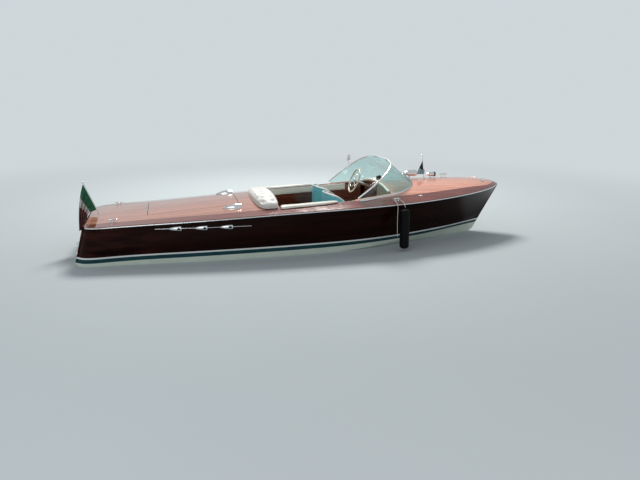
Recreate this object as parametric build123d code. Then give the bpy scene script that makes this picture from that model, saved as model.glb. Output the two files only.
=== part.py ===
from build123d import *
from collections import namedtuple
import math
import os

# A varnished mahogany runabout: one open cockpit, a long engine deck aft, a wrapped windshield.
# Millimetres. X runs forward from the foot of the transom, Y to port, Z up from the water.

# Planking and decks
SIDE_THICK = 18
BOTTOM_THICK = 20
DECK_THICK = 16
PLANK_SEAM = 0.6
DECK_TIP = 6590
KEEL_HALF = 12
KEEL_PROUD = 12
TRANSOM_THICK = 22
STEM_DEPTH = 80
STEM_PROUD = 22
BAND_THICK = 4
RAIL_DROP = 8
RAIL_TALL = 18
RAIL_PROUD = 9

# Cockpit
COCKPIT_AFT = 2830
COCKPIT_FRONT = 4560
COCKPIT_NARROWS = 3960
COCKPIT_FRONT_HALF = 680
SOLE_TOP = 70
SOLE_THICK = 18
LINING_THICK = 16
AFT_BULKHEAD = 2440
FORE_BULKHEAD = 4960

# Engine hatch in the aft deck, hinged along its aft edge
HATCH_AFT = 1000
HATCH_FRONT = 2290
HATCH_HALF = 480
HATCH_GAP = 7
HATCH_PIVOT_X = HATCH_AFT - HATCH_GAP / 2 - 3
HATCH_PIVOT_Z = 636

# Running gear
SHAFT_ANGLE = 12
SHAFT_RADIUS = 14
SHAFT_EXIT = (1000, -290)
PROPELLER_X = 340
PROPELLER_RADIUS = 150
STRUT_X = 470
RUDDER_X = 100
RUNNING_GAP = 0.05

# Helm
WHEEL_CENTRE = (4300, 380, 875)
WHEEL_RADIUS = 195
WHEEL_RAKE = 22
RIM_RADIUS = 14
HUB_RADIUS = 34
COLUMN_RADIUS = 24
SPINDLE_RADIUS = 10

# Hull stations. Each lies in a plane that leans forward: x = foot + rake * z.
# keel: height of the keel line; chine and sheer: half beam and height; flare: how far the
# topside bows out (or in, when negative); board: width of the covering board;
# crown: how far the deck's middle stands over its edge.
Station = namedtuple("Station", "foot rake keel chine_y chine_z sheer_y sheer_z flare board crown")
STATIONS = [
    Station(22, 0.27, -222, 655, -50, 700, 545, 34, 120, 22),
    Station(110, 0.26, -228, 745, -54, 806, 552, 34, 170, 28),
    Station(460, 0.22, -244, 790, -60, 880, 568, 30, 200, 38),
    Station(1500, 0.10, -280, 840, -68, 980, 610, 22, 200, 76),
    Station(3000, 0.02, -320, 850, -40, 1055, 674, 8, 200, 122),
    Station(4200, 0.12, -340, 740, 30, 1012, 708, -12, 200, 198),
    Station(5100, 0.30, -330, 500, 120, 816, 738, -34, 180, 190),
    Station(5700, 0.45, -245, 285, 215, 528, 768, -38, 125, 145),
    Station(6050, 0.55, -120, 120, 285, 246, 788, -22, 96, 78),
    Station(6220, 0.59, 0, 26, 320, 28, 800, 0.5, 12, 6),
]
FIRST = STATIONS[0]
LAST = STATIONS[-1]

parts = {}


def at(station, y, z):
    """The point of a station's plane at a half breadth and a height."""
    return Vector(station.foot + station.rake * z, y, z)


def bowed(start, bow, end):
    """A long edge of a section, slightly bowed, as planking is."""
    return ThreePointArc(start, bow, end)


def section(outer, inner):
    """A closed section from three outer and three inner points."""
    return Face(Wire([
        bowed(*outer),
        Line(outer[2], inner[2]),
        bowed(inner[2], inner[1], inner[0]),
        Line(inner[0], outer[0]),
    ]))


def shrink(station, thick):
    """Planks thin down as they land on the stem's sides."""
    return min(thick, station.sheer_y - KEEL_HALF)


def side_section(station, side):
    """Topside planking from the chine up to the underside of the covering board."""
    foot = station.chine_z + PLANK_SEAM
    top = station.sheer_z - DECK_THICK - PLANK_SEAM
    middle_z = (foot + top) / 2
    middle_y = (station.chine_y + station.sheer_y) / 2 + station.flare
    thick = shrink(station, SIDE_THICK)
    heights = (foot, middle_z, top)
    breadths = (station.chine_y, middle_y, station.sheer_y)
    outer = [at(station, side * y, z) for y, z in zip(breadths, heights)]
    inner = [at(station, side * (y - thick), z) for y, z in zip(breadths, heights)]
    return section(outer, inner)


def bottom_section(station, side):
    """Bottom planking from the keel out to the chine, thickened there by the chine log."""
    rise = station.chine_z - station.keel
    run = station.chine_y - KEEL_HALF
    log = min(70, BOTTOM_THICK * math.hypot(rise, run) / rise, run - 2)
    belly = 0.06 * run
    middle = ((KEEL_HALF + station.chine_y) / 2, (station.keel + station.chine_z) / 2 - belly)
    outer = [
        at(station, side * KEEL_HALF, station.keel),
        at(station, side * middle[0], middle[1]),
        at(station, side * station.chine_y, station.chine_z),
    ]
    lift = BOTTOM_THICK * math.hypot(rise, run) / run if run > 50 else BOTTOM_THICK
    inner_end = station.chine_y - log
    inner = [
        at(station, side * KEEL_HALF, station.keel + lift),
        at(station, side * (KEEL_HALF + inner_end) / 2,
           (station.keel + lift + station.chine_z) / 2 - belly),
        at(station, side * inner_end, station.chine_z),
    ]
    return section(outer, inner)


def deck_height(station, y):
    """Height of the crowned deck of a station, on the arc through its edge and its middle."""
    radius = (station.sheer_y ** 2 + station.crown ** 2) / (2 * station.crown)
    return station.sheer_z + station.crown - radius + math.sqrt(radius ** 2 - y ** 2)


def deck_section(station):
    """The crowned deck of a station, from side to side."""
    breadths = (-station.sheer_y, 0, station.sheer_y)
    top = [at(station, y, deck_height(station, y)) for y in breadths]
    under = [at(station, y, deck_height(station, y) - DECK_THICK) for y in breadths]
    return section(top, under)


def rail_section(station, side):
    """A half-round metal strip over the joint of topside and deck."""
    y = station.sheer_y
    z = station.sheer_z
    arc = ThreePointArc(
        at(station, side * y, z - RAIL_DROP),
        at(station, side * (y + RAIL_PROUD), z - RAIL_DROP - RAIL_TALL / 2),
        at(station, side * y, z - RAIL_DROP - RAIL_TALL),
    )
    return Face(Wire([arc, Line(arc @ 1, arc @ 0)]))


def keel_section(station):
    low = station.keel - KEEL_PROUD
    high = station.keel + 45
    corners = [(-1, low), (1, low), (1, high), (-1, high)]
    points = [at(station, sign * KEEL_HALF, z) for sign, z in corners]
    return Face(Wire(Polyline(*points, close=True).edges()))


def swelling(start, through, end):
    """A smooth profile line for turned pieces, passing a middle point."""
    control = [2 * t - (a + b) / 2 for a, t, b in zip(start, through, end)]
    return Bezier(start, tuple(control), end)


def turned(outline):
    """A piece turned about the X axis from a half outline: points, or curves between them."""
    return revolve(Plane.XZ * make_face(outline), Axis.X)


def cylinder_between(start, end, radius):
    """A round bar from one point to another."""
    way = Vector(*end) - Vector(*start)
    circle = Plane(origin=start, z_dir=way) * Circle(radius)
    return extrude(circle, way.length, dir=way.normalized())


def mirrored(part):
    """The same piece on the other side of the centreline."""
    return mirror(part, about=Plane.XZ)


def lowest(part, x, y):
    """Height of a part's underside over a place in plan."""
    hits = part.find_intersection_points(Axis((x, y, -2000), (0, 0, 1)))
    return min(point.Z for point, normal in hits)


def side_hits(x, z):
    """Half breadths where a level line across the boat meets the port planking."""
    across = Axis((x, -3000, z), (0, 1, 0))
    for name in ("topside_port", "bottom_port"):
        hits = parts[name].find_intersection_points(across)
        if hits:
            return [point.Y for point, normal in hits]
    raise ValueError("no planking at %s %s" % (x, z))


def inner_side(x, z):
    """Half breadth inside the planking at a length and a height."""
    return min(side_hits(x, z))


def outer_side(x, z):
    return max(side_hits(x, z))


def deck_hits(x, y):
    """Heights where an upright line meets the deck, before it is divided and opened."""
    hits = whole_deck.find_intersection_points(Axis((x, y, -2000), (0, 0, 1)))
    return [point.Z for point, normal in hits]


def deck_top(x, y):
    return max(deck_hits(x, y))


def trimmed(part, *carriers):
    """A fitting cut to the curved face that it is seated on: what stays is its larger side."""
    for carrier in carriers:
        part = part - carrier
    return part.solids().sort_by(SortBy.VOLUME)[-1]


def prism(face):
    """A tall block over a face of the ground plan."""
    return extrude(Pos(0, 0, 300) * face, 900)


def plan_prism(points):
    return prism(make_face(Polyline(*points, close=True)))


def plan_box(x_from, x_to, half):
    return plan_prism([(x_from, -half), (x_to, -half), (x_to, half), (x_from, half)])


def inside_boards():
    """The ground plan inside the covering boards: a fair curve down each side."""
    edge = []
    for s in STATIONS[:-1]:
        half = s.sheer_y - s.board
        edge.append((s.foot + s.rake * deck_height(s, half), half))
    edge[0] = (edge[0][0] - 60, edge[0][1] - 10)
    edge.append((DECK_TIP, 0))
    port = Spline(*edge)
    starboard = Spline(*[(x, -y) for x, y in edge])
    return make_face([port, starboard, Line(port @ 0, starboard @ 0)])


# One crowned deck, divided into covering boards and the deck inside them
whole_deck = loft([deck_section(s) for s in STATIONS])
inner_prism = prism(inside_boards())
inner_deck = whole_deck & inner_prism
port_half = plan_prism([(0, PLANK_SEAM / 2), (7000, PLANK_SEAM / 2), (7000, 1500), (0, 1500)])
parts["covering_board_port"] = ((whole_deck - inner_prism) & port_half).solids()[0]
parts["covering_board_starboard"] = mirrored(parts["covering_board_port"])

# Hull shell: keel, bottom, topsides, stem and transom
for name, side in (("port", 1), ("starboard", -1)):
    parts["topside_" + name] = loft([side_section(s, side) for s in STATIONS])
    parts["bottom_" + name] = loft([bottom_section(s, side) for s in STATIONS])
    parts["rub_rail_" + name] = loft([rail_section(s, side) for s in STATIONS])
    for lower in ("topside_", "covering_board_"):
        parts["rub_rail_" + name] = trimmed(parts["rub_rail_" + name], parts[lower + name])
parts["keel"] = loft([keel_section(s) for s in STATIONS])


def make_stem():
    """The raked stem timber, with its metal band in front."""
    foot = 40
    head = LAST.sheer_z - DECK_THICK
    rows = []
    for lead in (-STEM_DEPTH, STEM_PROUD):
        rows.append([LAST.foot + LAST.rake * z + lead for z in (foot, head)])
    outline = [(rows[0][0], foot), (rows[1][0], foot), (rows[1][1], head), (rows[0][1], head)]
    timber = extrude(Plane.XZ * make_face(Polyline(*outline, close=True)), KEEL_HALF, both=True)
    band_points = [
        (rows[1][0], foot),
        (rows[1][0] + BAND_THICK, foot),
        (rows[1][1] + BAND_THICK, head),
        (rows[1][1], head),
    ]
    band_face = Plane.XZ * make_face(Polyline(*band_points, close=True))
    band = extrude(band_face, KEEL_HALF - 1, both=True)
    return timber, band


parts["stem"], parts["stem_band"] = make_stem()
parts["stem"] = trimmed(parts["stem"], parts["keel"], parts["topside_port"], parts["topside_starboard"])


def make_transom():
    """The raked transom, with a crowned top and softened aft edges."""
    s = FIRST
    top = s.sheer_z
    middle_z = (s.chine_z + top - DECK_THICK) / 2
    middle_y = (s.chine_y + s.sheer_y) / 2 + s.flare
    right = [
        ThreePointArc(at(s, s.chine_y, s.chine_z), at(s, middle_y, middle_z), at(s, s.sheer_y, top)),
        ThreePointArc(at(s, s.sheer_y, top), at(s, 0, top + s.crown), at(s, -s.sheer_y, top)),
        ThreePointArc(at(s, -s.sheer_y, top), at(s, -middle_y, middle_z), at(s, -s.chine_y, s.chine_z)),
        Line(at(s, -s.chine_y, s.chine_z), at(s, 0, s.keel - KEEL_PROUD)),
        Line(at(s, 0, s.keel - KEEL_PROUD), at(s, s.chine_y, s.chine_z)),
    ]
    return extrude(Face(Wire(right)), TRANSOM_THICK, dir=(-1, 0, 0))


parts["transom"] = make_transom()


# The inner deck is opened for the cockpit and the hatch
cockpit_plan = [
    (COCKPIT_AFT, -950), (COCKPIT_NARROWS, -950), (COCKPIT_NARROWS, -808),
    (COCKPIT_FRONT, -COCKPIT_FRONT_HALF), (COCKPIT_FRONT, COCKPIT_FRONT_HALF),
    (COCKPIT_NARROWS, 808), (COCKPIT_NARROWS, 950), (COCKPIT_AFT, 950),
]
opened = inner_deck - plan_prism(cockpit_plan)
halves = opened.solids().sort_by(Axis.X)
parts["foredeck"] = halves[-1]
aft_deck = halves[0]
parts["engine_hatch"] = aft_deck & plan_box(HATCH_AFT, HATCH_FRONT, HATCH_HALF)
parts["aft_deck"] = aft_deck - plan_box(
    HATCH_AFT - HATCH_GAP, HATCH_FRONT + HATCH_GAP, HATCH_HALF + HATCH_GAP)

# Shaft line
slope = math.radians(SHAFT_ANGLE)
SHAFT_WAY = Vector(math.cos(slope), 0, math.sin(slope))


def on_shaft(x):
    """A point of the shaft's line at a length along the boat."""
    return (x, 0, SHAFT_EXIT[1] + (x - SHAFT_EXIT[0]) * math.tan(slope))


LOG_FROM, LOG_TO = 830, 1420
LOG_RADIUS = 30
log_outer = cylinder_between(on_shaft(LOG_FROM), on_shaft(LOG_TO), LOG_RADIUS)
log_bore = cylinder_between(on_shaft(LOG_FROM - 50), on_shaft(LOG_TO + 50), SHAFT_RADIUS + 8)
parts["shaft_log"] = log_outer - log_bore
for name in ("keel", "bottom_port", "bottom_starboard"):
    parts[name] = parts[name] - log_outer

ENGINE_BACK, ENGINE_FRONT = 1610, 2360


def make_engine():
    """The engine as one plain block in line with the shaft."""
    length = (ENGINE_FRONT - ENGINE_BACK) / math.cos(slope)
    plane = Plane(origin=on_shaft(ENGINE_BACK), x_dir=(0, 1, 0), z_dir=SHAFT_WAY)
    outline = [(-160, -70), (160, -70), (300, 130), (270, 400), (120, 460),
               (-120, 460), (-270, 400), (-300, 130)]
    flip = [(y, -z) for y, z in outline]
    up_is_negative = plane.y_dir.Z < 0
    face = make_face(Polyline(*(flip if up_is_negative else outline), close=True))
    return extrude(plane * face, length)


parts["engine"] = make_engine()
parts["propeller_shaft"] = cylinder_between(
    on_shaft(PROPELLER_X - 21), on_shaft(ENGINE_BACK - 10), SHAFT_RADIUS)

# Blade sections: distance from the axis, chord, greatest thickness, pitch angle in degrees
Blade = namedtuple("Blade", "radius chord thick pitch")
BLADE = [Blade(24, 70, 14, 62), Blade(85, 150, 9, 36), Blade(130, 120, 6, 26),
         Blade(PROPELLER_RADIUS, 40, 3, 23)]


def blade_face(b):
    """A lens-shaped section square to the blade's own radius, turned by its pitch."""
    plane = Plane(origin=(0, 0, b.radius), x_dir=(0, 1, 0), z_dir=(0, 0, 1)).rotated((0, 0, b.pitch))
    nose, tail = (-b.chord / 2, 0), (b.chord / 2, 0)
    back = ThreePointArc(nose, (0, b.thick), tail)
    face = ThreePointArc(tail, (0, b.thick * 0.1), nose)
    return plane * make_face([back, face])


def make_propeller():
    """Three twisted blades on a tapered hub, its axis along local X."""
    blade = loft([blade_face(b) for b in BLADE])
    body = turned(Polyline(
        (50, 0), (50, 26), (40, 30), (-35, 30), (-62, 12), (-66, 0), close=True))
    for turn in (0, 120, 240):
        body = body + Rot(turn, 0, 0) * blade
    bored = body - Pos(16, 0, 0) * Rot(0, 90, 0) * Cylinder(SHAFT_RADIUS, 75)
    centre = on_shaft(PROPELLER_X)
    return Pos(*centre) * Rot(0, -SHAFT_ANGLE, 0) * bored


parts["propeller"] = make_propeller()


def make_strut():
    """The bracket under the hull that carries the shaft ahead of the propeller."""
    half = 45
    barrel = cylinder_between(on_shaft(STRUT_X - half), on_shaft(STRUT_X + half), 24)
    bore = cylinder_between(
        on_shaft(STRUT_X - 2 * half), on_shaft(STRUT_X + 2 * half), SHAFT_RADIUS + RUNNING_GAP)
    keel_face = lowest(parts["keel"], STRUT_X, 0)
    centre_z = on_shaft(STRUT_X)[2]
    tall = keel_face - centre_z
    arm = Pos(STRUT_X, 0, centre_z + tall / 2) * Box(70, 14, tall + 10)
    palm = Pos(STRUT_X, 0, keel_face - 3) * Box(150, 22, 12)
    return trimmed(barrel + arm + palm, parts["keel"]) - bore


parts["shaft_strut"] = make_strut()

RUDDER_TOP, RUDDER_FOOT = -262, -590
STOCK_RADIUS = 14


def foil(x_nose, x_tail, thick, z):
    """A lens-shaped rudder section at a height."""
    nose, tail = (x_nose, 0, z), (x_tail, 0, z)
    middle = (x_nose + x_tail) / 2
    return Face(Wire([
        ThreePointArc(nose, (middle, thick / 2, z), tail),
        ThreePointArc(tail, (middle, -thick / 2, z), nose),
    ]))


def make_rudder():
    blade = loft([foil(165, -75, 24, RUDDER_TOP), foil(150, -45, 16, RUDDER_FOOT)])
    stock = cylinder_between((RUDDER_X, 0, RUDDER_TOP - 120), (RUDDER_X, 0, 90), STOCK_RADIUS)
    return blade + stock


parts["rudder"] = make_rudder()
tube = cylinder_between((RUDDER_X, 0, -252), (RUDDER_X, 0, 60), 26)
stock_bore = cylinder_between((RUDDER_X, 0, -300), (RUDDER_X, 0, 200), STOCK_RADIUS + RUNNING_GAP)
for name in ("keel", "bottom_port", "bottom_starboard"):
    parts[name] = parts[name] - tube
parts["rudder_tube"] = tube - stock_bore


# Cockpit: sole, bulkheads, linings, dash
def make_sole():
    lengths = (AFT_BULKHEAD + LINING_THICK + 2, 3300, 4100, FORE_BULKHEAD - 2)
    edge = [(x, inner_side(x, SOLE_TOP - SOLE_THICK) - 14) for x in lengths]
    outline = edge + [(x, -y) for x, y in reversed(edge)]
    return extrude(Plane.XY.offset(SOLE_TOP - SOLE_THICK) * make_face(Polyline(*outline, close=True)),
                   SOLE_THICK)


parts["sole"] = make_sole()


def bulkhead(x, deck, foot_z, heights):
    """A board across the hull, cut to the sides and to the crown of the deck."""
    edge = [(inner_side(x, z) - 8, z) for z in heights]
    half = edge[-1][0]
    middle_top = lowest(deck, x + LINING_THICK / 2, 0) - 3
    edge = [(edge[0][0] * 0.9, foot_z)] + edge
    left = [(-y, z) for y, z in reversed(edge)]
    plane = Plane(origin=(x, 0, 0), x_dir=(0, 1, 0), z_dir=(1, 0, 0))
    outline = Polyline(*(left + edge))
    crown = ThreePointArc(edge[-1], (0, middle_top), (-half, edge[-1][1]))
    board = extrude(plane * make_face([outline, crown]), LINING_THICK)
    planks = [parts[n] for n in parts if n.startswith(("topside", "bottom", "covering"))]
    return trimmed(board, deck, parts["keel"], *planks)


parts["aft_bulkhead"] = bulkhead(AFT_BULKHEAD, parts["aft_deck"], -40, (60, 300, 620))
parts["fore_bulkhead"] = bulkhead(FORE_BULKHEAD, parts["foredeck"], 50, (130, 400, 690))


def lining(side):
    """The mahogany side panel of the cockpit, from the sole up to the deck."""
    faces = []
    for x, y in ((COCKPIT_AFT + 2, 822), (3350, 838), (COCKPIT_NARROWS, 806), (4500, 676)):
        top = min(deck_hits(x, y + LINING_THICK + 30)) - 2
        foot = min(inner_side(x, SOLE_TOP) - LINING_THICK - 12, y)
        corners = [(foot, SOLE_TOP), (foot + LINING_THICK, SOLE_TOP), (y + LINING_THICK, top), (y, top)]
        points = [(x, side * b, z) for b, z in corners]
        faces.append(Face(Wire(Polyline(*points, close=True).edges())))
    return loft(faces)


for name, side in (("port", 1), ("starboard", -1)):
    parts["side_lining_" + name] = lining(side)


def arched_strip(x_from, x_to, half, top_drop, foot_z, deck):
    """A board across the boat whose top follows the crown of the deck above it."""
    middle = (x_from + x_to) / 2
    top_edge = lowest(deck, middle, half) - top_drop
    top_middle = lowest(deck, middle, 0) - top_drop
    plane = Plane(origin=(x_from, 0, 0), x_dir=(0, 1, 0), z_dir=(1, 0, 0))
    outline = Polyline((half, top_edge), (half, foot_z), (-half, foot_z), (-half, top_edge))
    crown = ThreePointArc((-half, top_edge), (0, top_middle), (half, top_edge))
    return extrude(plane * make_face([outline, crown]), x_to - x_from)


DASH_AFT, DASH_FORE = COCKPIT_FRONT + 2, COCKPIT_FRONT + 22
DASH_HALF, DASH_FOOT = 640, 560
LOUVRES = (-60, -145, -230, -315)
LOUVRE_WIDTH, LOUVRE_TALL, LOUVRE_DROP, LOUVRE_SLANT = 14, 78, 70, 20


def make_dash():
    """The board under the cockpit's front edge, with four slanted slots to starboard."""
    board = arched_strip(DASH_AFT, DASH_FORE, DASH_HALF, 2, DASH_FOOT, parts["foredeck"])
    for y in LOUVRES:
        middle = lowest(parts["foredeck"], DASH_FORE, y) - LOUVRE_DROP
        slot = Box(2 * (DASH_FORE - DASH_AFT) + 4, LOUVRE_WIDTH, LOUVRE_TALL)
        board = board - Pos(DASH_AFT, y, middle) * Rot(LOUVRE_SLANT, 0, 0) * slot
    return board


parts["dash"] = make_dash()


DASH_ROLL_RADIUS = 22
DASH_ROLL_HALF = 635


def dash_roll():
    """The padded roll along the cockpit's front edge."""
    x = COCKPIT_FRONT - DASH_ROLL_RADIUS - 0.3
    breadths = [DASH_ROLL_HALF * step / 4 for step in range(-4, 5)]
    path = Spline(*[(x, y, deck_top(COCKPIT_FRONT + 8, y)) for y in breadths])
    return sweep(Plane(origin=path @ 0, z_dir=path % 0) * Circle(DASH_ROLL_RADIUS), path)


parts["dash_roll"] = dash_roll()


def cushion(x_from, x_to, y_from, y_to, z_from, z_to, soft):
    """A plain padded block with rounded edges."""
    block = Pos((x_from + x_to) / 2, (y_from + y_to) / 2, (z_from + z_to) / 2) * Box(
        x_to - x_from, y_to - y_from, z_to - z_from)
    return fillet(block.edges(), soft)


# Two tub seats in front, one bench behind. Each tub is a half round band about its seat.
TUB_X, TUB_Y = 3925, 340
TUB_OUTER, TUB_INNER = 340, 255
TUB_END = -60
TUB_BACK_TOP, TUB_END_TOP = 832, 770
SEAT_FOOT, SEAT_TOP, CUSHION_FOOT, CUSHION_TOP = SOLE_TOP + 1, 309, 311, 430
SEAT_FRONT = 220
REAR_SEAT = (2720, 3110)
REAR_HALF = 690


def d_shape(radius, front):
    """A plan outline that is half round behind and square in front."""
    sides = Polyline((0, -radius), (front, -radius), (front, radius), (0, radius))
    return make_face([sides, ThreePointArc((0, radius), (-radius, 0), (0, -radius))])


def slab(face, foot, top):
    return extrude(Plane.XY.offset(foot) * face, top - foot)


def tub_back():
    """The seat's half round back, its top falling from the middle to the two ends."""
    ring = Circle(TUB_OUTER) - Circle(TUB_INNER)
    behind = Pos(TUB_END - TUB_OUTER / 2, 0) * Rectangle(TUB_OUTER, 2 * TUB_OUTER)
    band = slab(ring & behind, CUSHION_FOOT, TUB_BACK_TOP + 10)
    fall = (TUB_BACK_TOP - TUB_END_TOP) / (TUB_OUTER + TUB_END)
    far, near = -TUB_OUTER - 50, TUB_END + 50
    heights = [TUB_BACK_TOP - fall * (x + TUB_OUTER) for x in (far, near)]
    over = [(far, heights[0]), (near, heights[1]), (near, TUB_BACK_TOP + 200), (far, TUB_BACK_TOP + 200)]
    cutter = extrude(Plane.XZ * make_face(Polyline(*over, close=True)), TUB_OUTER + 10, both=True)
    return band - cutter


def tub_cushion():
    block = slab(d_shape(TUB_INNER - 3, SEAT_FRONT), CUSHION_FOOT, CUSHION_TOP)
    return fillet(block.edges().group_by(Axis.Z)[-1], 24)


def tub_pair(piece):
    return Compound([Pos(TUB_X, side * TUB_Y, 0) * piece for side in (1, -1)])


parts["front_seat_bases"] = tub_pair(slab(d_shape(TUB_OUTER - 5, SEAT_FRONT - 30), SEAT_FOOT, SEAT_TOP))
parts["front_seat_cushions"] = tub_pair(tub_cushion())
parts["front_seat_back"] = tub_pair(tub_back())
parts["rear_seat_base"] = Pos((REAR_SEAT[0] + REAR_SEAT[1]) / 2 - 50, 0, (SEAT_FOOT + SEAT_TOP) / 2) * Box(
    REAR_SEAT[1] - REAR_SEAT[0], 2 * REAR_HALF - 20, SEAT_TOP - SEAT_FOOT)
parts["rear_seat_cushion"] = cushion(*REAR_SEAT, -REAR_HALF, REAR_HALF, CUSHION_FOOT, CUSHION_TOP, 30)
parts["rear_seat_back"] = trimmed(
    arched_strip(COCKPIT_AFT - 95, COCKPIT_AFT - 1, REAR_HALF, 0.5, CUSHION_TOP + 0.5, parts["aft_deck"]),
    parts["aft_deck"])


# Windshield: feet on the covering boards, its apex on the foredeck, a hoop that leans forward
Rib = namedtuple("Rib", "base_x base_y top_y top_z")
RIBS = [Rib(4010, 858, 862, 830), Rib(4250, 815, 872, 950), Rib(4460, 760, 835, 1075),
        Rib(4700, 675, 735, 1178), Rib(4870, 560, 600, 1238), Rib(5000, 400, 400, 1268),
        Rib(5060, 0, 0, 1288)]
HOOP_FOOT = (3970, 788)
HOOP_LEAN = 1.33
GLASS_THICK = 7
MOULDING_HALF = 13
MOULDING_HEIGHT = 20


def hoop_x(z):
    return HOOP_FOOT[0] + HOOP_LEAN * (z - HOOP_FOOT[1])


def outward_from_cockpit(rib, side):
    """The level direction that faces away from the cockpit at a rib's foot."""
    lean = math.atan2(rib.base_y, (rib.base_x - 3700) * 1.2)
    return Vector(math.cos(lean), side * math.sin(lean), 0)


def moulding_face(rib, side):
    """A slice across the base moulding, its underside on the deck's slope."""
    out = outward_from_cockpit(rib, side) * MOULDING_HALF
    foot = Vector(rib.base_x, side * rib.base_y, 0)
    inner, outer = foot - out, foot + out
    inner_z, outer_z = deck_top(inner.X, inner.Y) + 0.5, deck_top(outer.X, outer.Y) + 0.5
    top = moulding_top(rib, side)
    corners = [(inner.X, inner.Y, inner_z), (outer.X, outer.Y, outer_z),
               (outer.X, outer.Y, outer_z + 6), (foot.X + out.X * 0.4, foot.Y + out.Y * 0.4, top),
               (foot.X - out.X * 0.4, foot.Y - out.Y * 0.4, top), (inner.X, inner.Y, inner_z + 6)]
    return Face(Wire(Polyline(*corners, close=True).edges()))


def moulding_top(rib, side):
    return deck_top(rib.base_x, side * rib.base_y) + MOULDING_HEIGHT


def glass_face(rib, side):
    """A slice across the glass, square to its run, from its moulding up to the hoop."""
    low = Vector(rib.base_x, side * rib.base_y, moulding_top(rib, side) + 1)
    high = Vector(hoop_x(rib.top_z), side * rib.top_y, rib.top_z)
    outward = outward_from_cockpit(rib, side)
    rise = (high - low).normalized()
    outward = (outward - rise * outward.dot(rise)).normalized() * GLASS_THICK
    corners = [low, high, high + outward, low + outward]
    return Face(Wire(Polyline(*corners, close=True).edges()))


def round_the_front(face_of):
    """Slices from the starboard foot round the front to the port foot."""
    return [face_of(rib, -1) for rib in RIBS] + [face_of(rib, 1) for rib in reversed(RIBS[:-1])]


parts["windshield_base"] = loft(round_the_front(moulding_face))


def make_hoop():
    """The bright tube round the glass's top edge, in one leaning plane."""
    points = []
    for side in (-1, 1):
        run = [(hoop_x(z), side * y, z) for y, z in (
            (868, 800), (876, 960), (832, 1085), (745, 1180), (590, 1250), (300, 1284))]
        points += run if side == -1 else list(reversed(run))
    path = FilletPolyline(*points, radius=[260, 220, 220, 350, 900, 900, 350, 220, 220, 260])
    return sweep(Plane(origin=path @ 0, z_dir=path % 0) * Circle(12), path)


hoop = make_hoop()


parts["windshield_frame"] = hoop
parts["windshield_glass"] = trimmed(loft(round_the_front(glass_face)), hoop)


def make_wheel():
    """The helm's wheel with three spokes, and its spindle running in the column."""
    rake = math.radians(WHEEL_RAKE)
    plane = Plane(origin=WHEEL_CENTRE, x_dir=(0, 1, 0), z_dir=(-math.cos(rake), 0, math.sin(rake)))
    wheel = Torus(WHEEL_RADIUS, RIM_RADIUS) + Cylinder(HUB_RADIUS, 24)
    for turn in (90, 210, 330):
        wheel = wheel + Rot(0, 0, turn) * Pos(WHEEL_RADIUS / 2, 0, 0) * Box(WHEEL_RADIUS, 24, 6)
    wheel = wheel + Pos(0, 0, -65) * Cylinder(SPINDLE_RADIUS, 110)
    tube = Pos(0, 0, -157) * Cylinder(COLUMN_RADIUS, 276)
    bore = Pos(0, 0, -60) * Cylinder(SPINDLE_RADIUS + RUNNING_GAP, 130)
    column = trimmed(plane * (tube - bore), parts["dash"])
    return plane * wheel, column


parts["steering_wheel"], parts["steering_column"] = make_wheel()

# Gauges on the port side of the dash: half breadth, height and radius of each
GAUGES = [(105, 800, 38), (190, 802, 30), (270, 795, 30), (490, 772, 30), (565, 756, 38)]


def instruments():
    """Round gauges standing a little proud of the dash."""
    dials = []
    for y, z, radius in GAUGES:
        dial = cylinder_between((DASH_AFT - 14, y, z), (DASH_AFT, y, z), radius)
        dials.append(fillet(dial.edges().group_by(Axis.X)[0], 4))
    return Compound(dials)


parts["instruments"] = instruments()


def deck_dome(x, y, radius, tall, carrier):
    """A round domed fitting that stands on a deck."""
    ground = deck_top(x, y)
    body = Cylinder(radius, tall + 16)
    body = fillet(body.edges().group_by(Axis.Z)[-1], min(tall, radius) * 0.8)
    return trimmed(Pos(x, y, ground - 8 + tall / 2) * body, parts[carrier])


parts["compass"] = deck_dome(4710, 330, 44, 58, "foredeck")
parts["deck_cap"] = deck_dome(5010, -760, 24, 10, "covering_board_starboard")


TIP = 2


def lamp_body(length, radius, waist):
    """A pod turned about its long axis, blunt forward and tapered aft."""
    tip, front = (-length / 2, TIP), (length / 2 - 12, radius)
    return turned([
        swelling(tip, (-length * 0.16, radius * waist), front),
        Polyline(front, (length / 2, radius * 0.92), (length / 2, 0), (-length / 2, 0), tip),
    ])


def on_pedestal(body, x, y, z, post, foot):
    """A deck fitting held up by a post with a round foot."""
    ground = deck_top(x, y)
    column = cylinder_between((x, y, ground - 8), (x, y, z), post)
    base = cylinder_between((x, y, ground - 8), (x, y, ground + 8), foot)
    return trimmed(Pos(x, y, z) * body + column + base, parts["foredeck"])


parts["searchlight"] = on_pedestal(lamp_body(230, 50, 0.86), 5115, 0, 1022, 14, 32)
parts["horn"] = on_pedestal(lamp_body(165, 38, 0.8), 5478, 0, 992, 12, 28)


def cleat(length, height, spread):
    """A two-footed cleat along X: two posts on round feet, and a horn bar that tapers."""
    half = length / 2
    bar = turned([
        swelling((-half, TIP), (0, 11), (half, TIP)),
        Polyline((half, TIP), (half, 0), (-half, 0), (-half, TIP)),
    ])
    body = Pos(0, 0, height) * bar
    for x in (-spread / 2, spread / 2):
        body = body + Pos(x, 0, height / 2 - 6) * Cylinder(8, height + 12)
        body = body + Pos(x, 0, -2) * Cylinder(17, 16)
    return body


CLEATS = {
    "bow_cleat": (5710, 0, 170, 62, 60, 0, "foredeck"),
    "midship_cleat": (4570, 900, 130, 36, 46, -12, "covering_board"),
    "stern_cleat": (540, 648, 130, 36, 46, -4, "aft_deck"),
}


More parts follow.
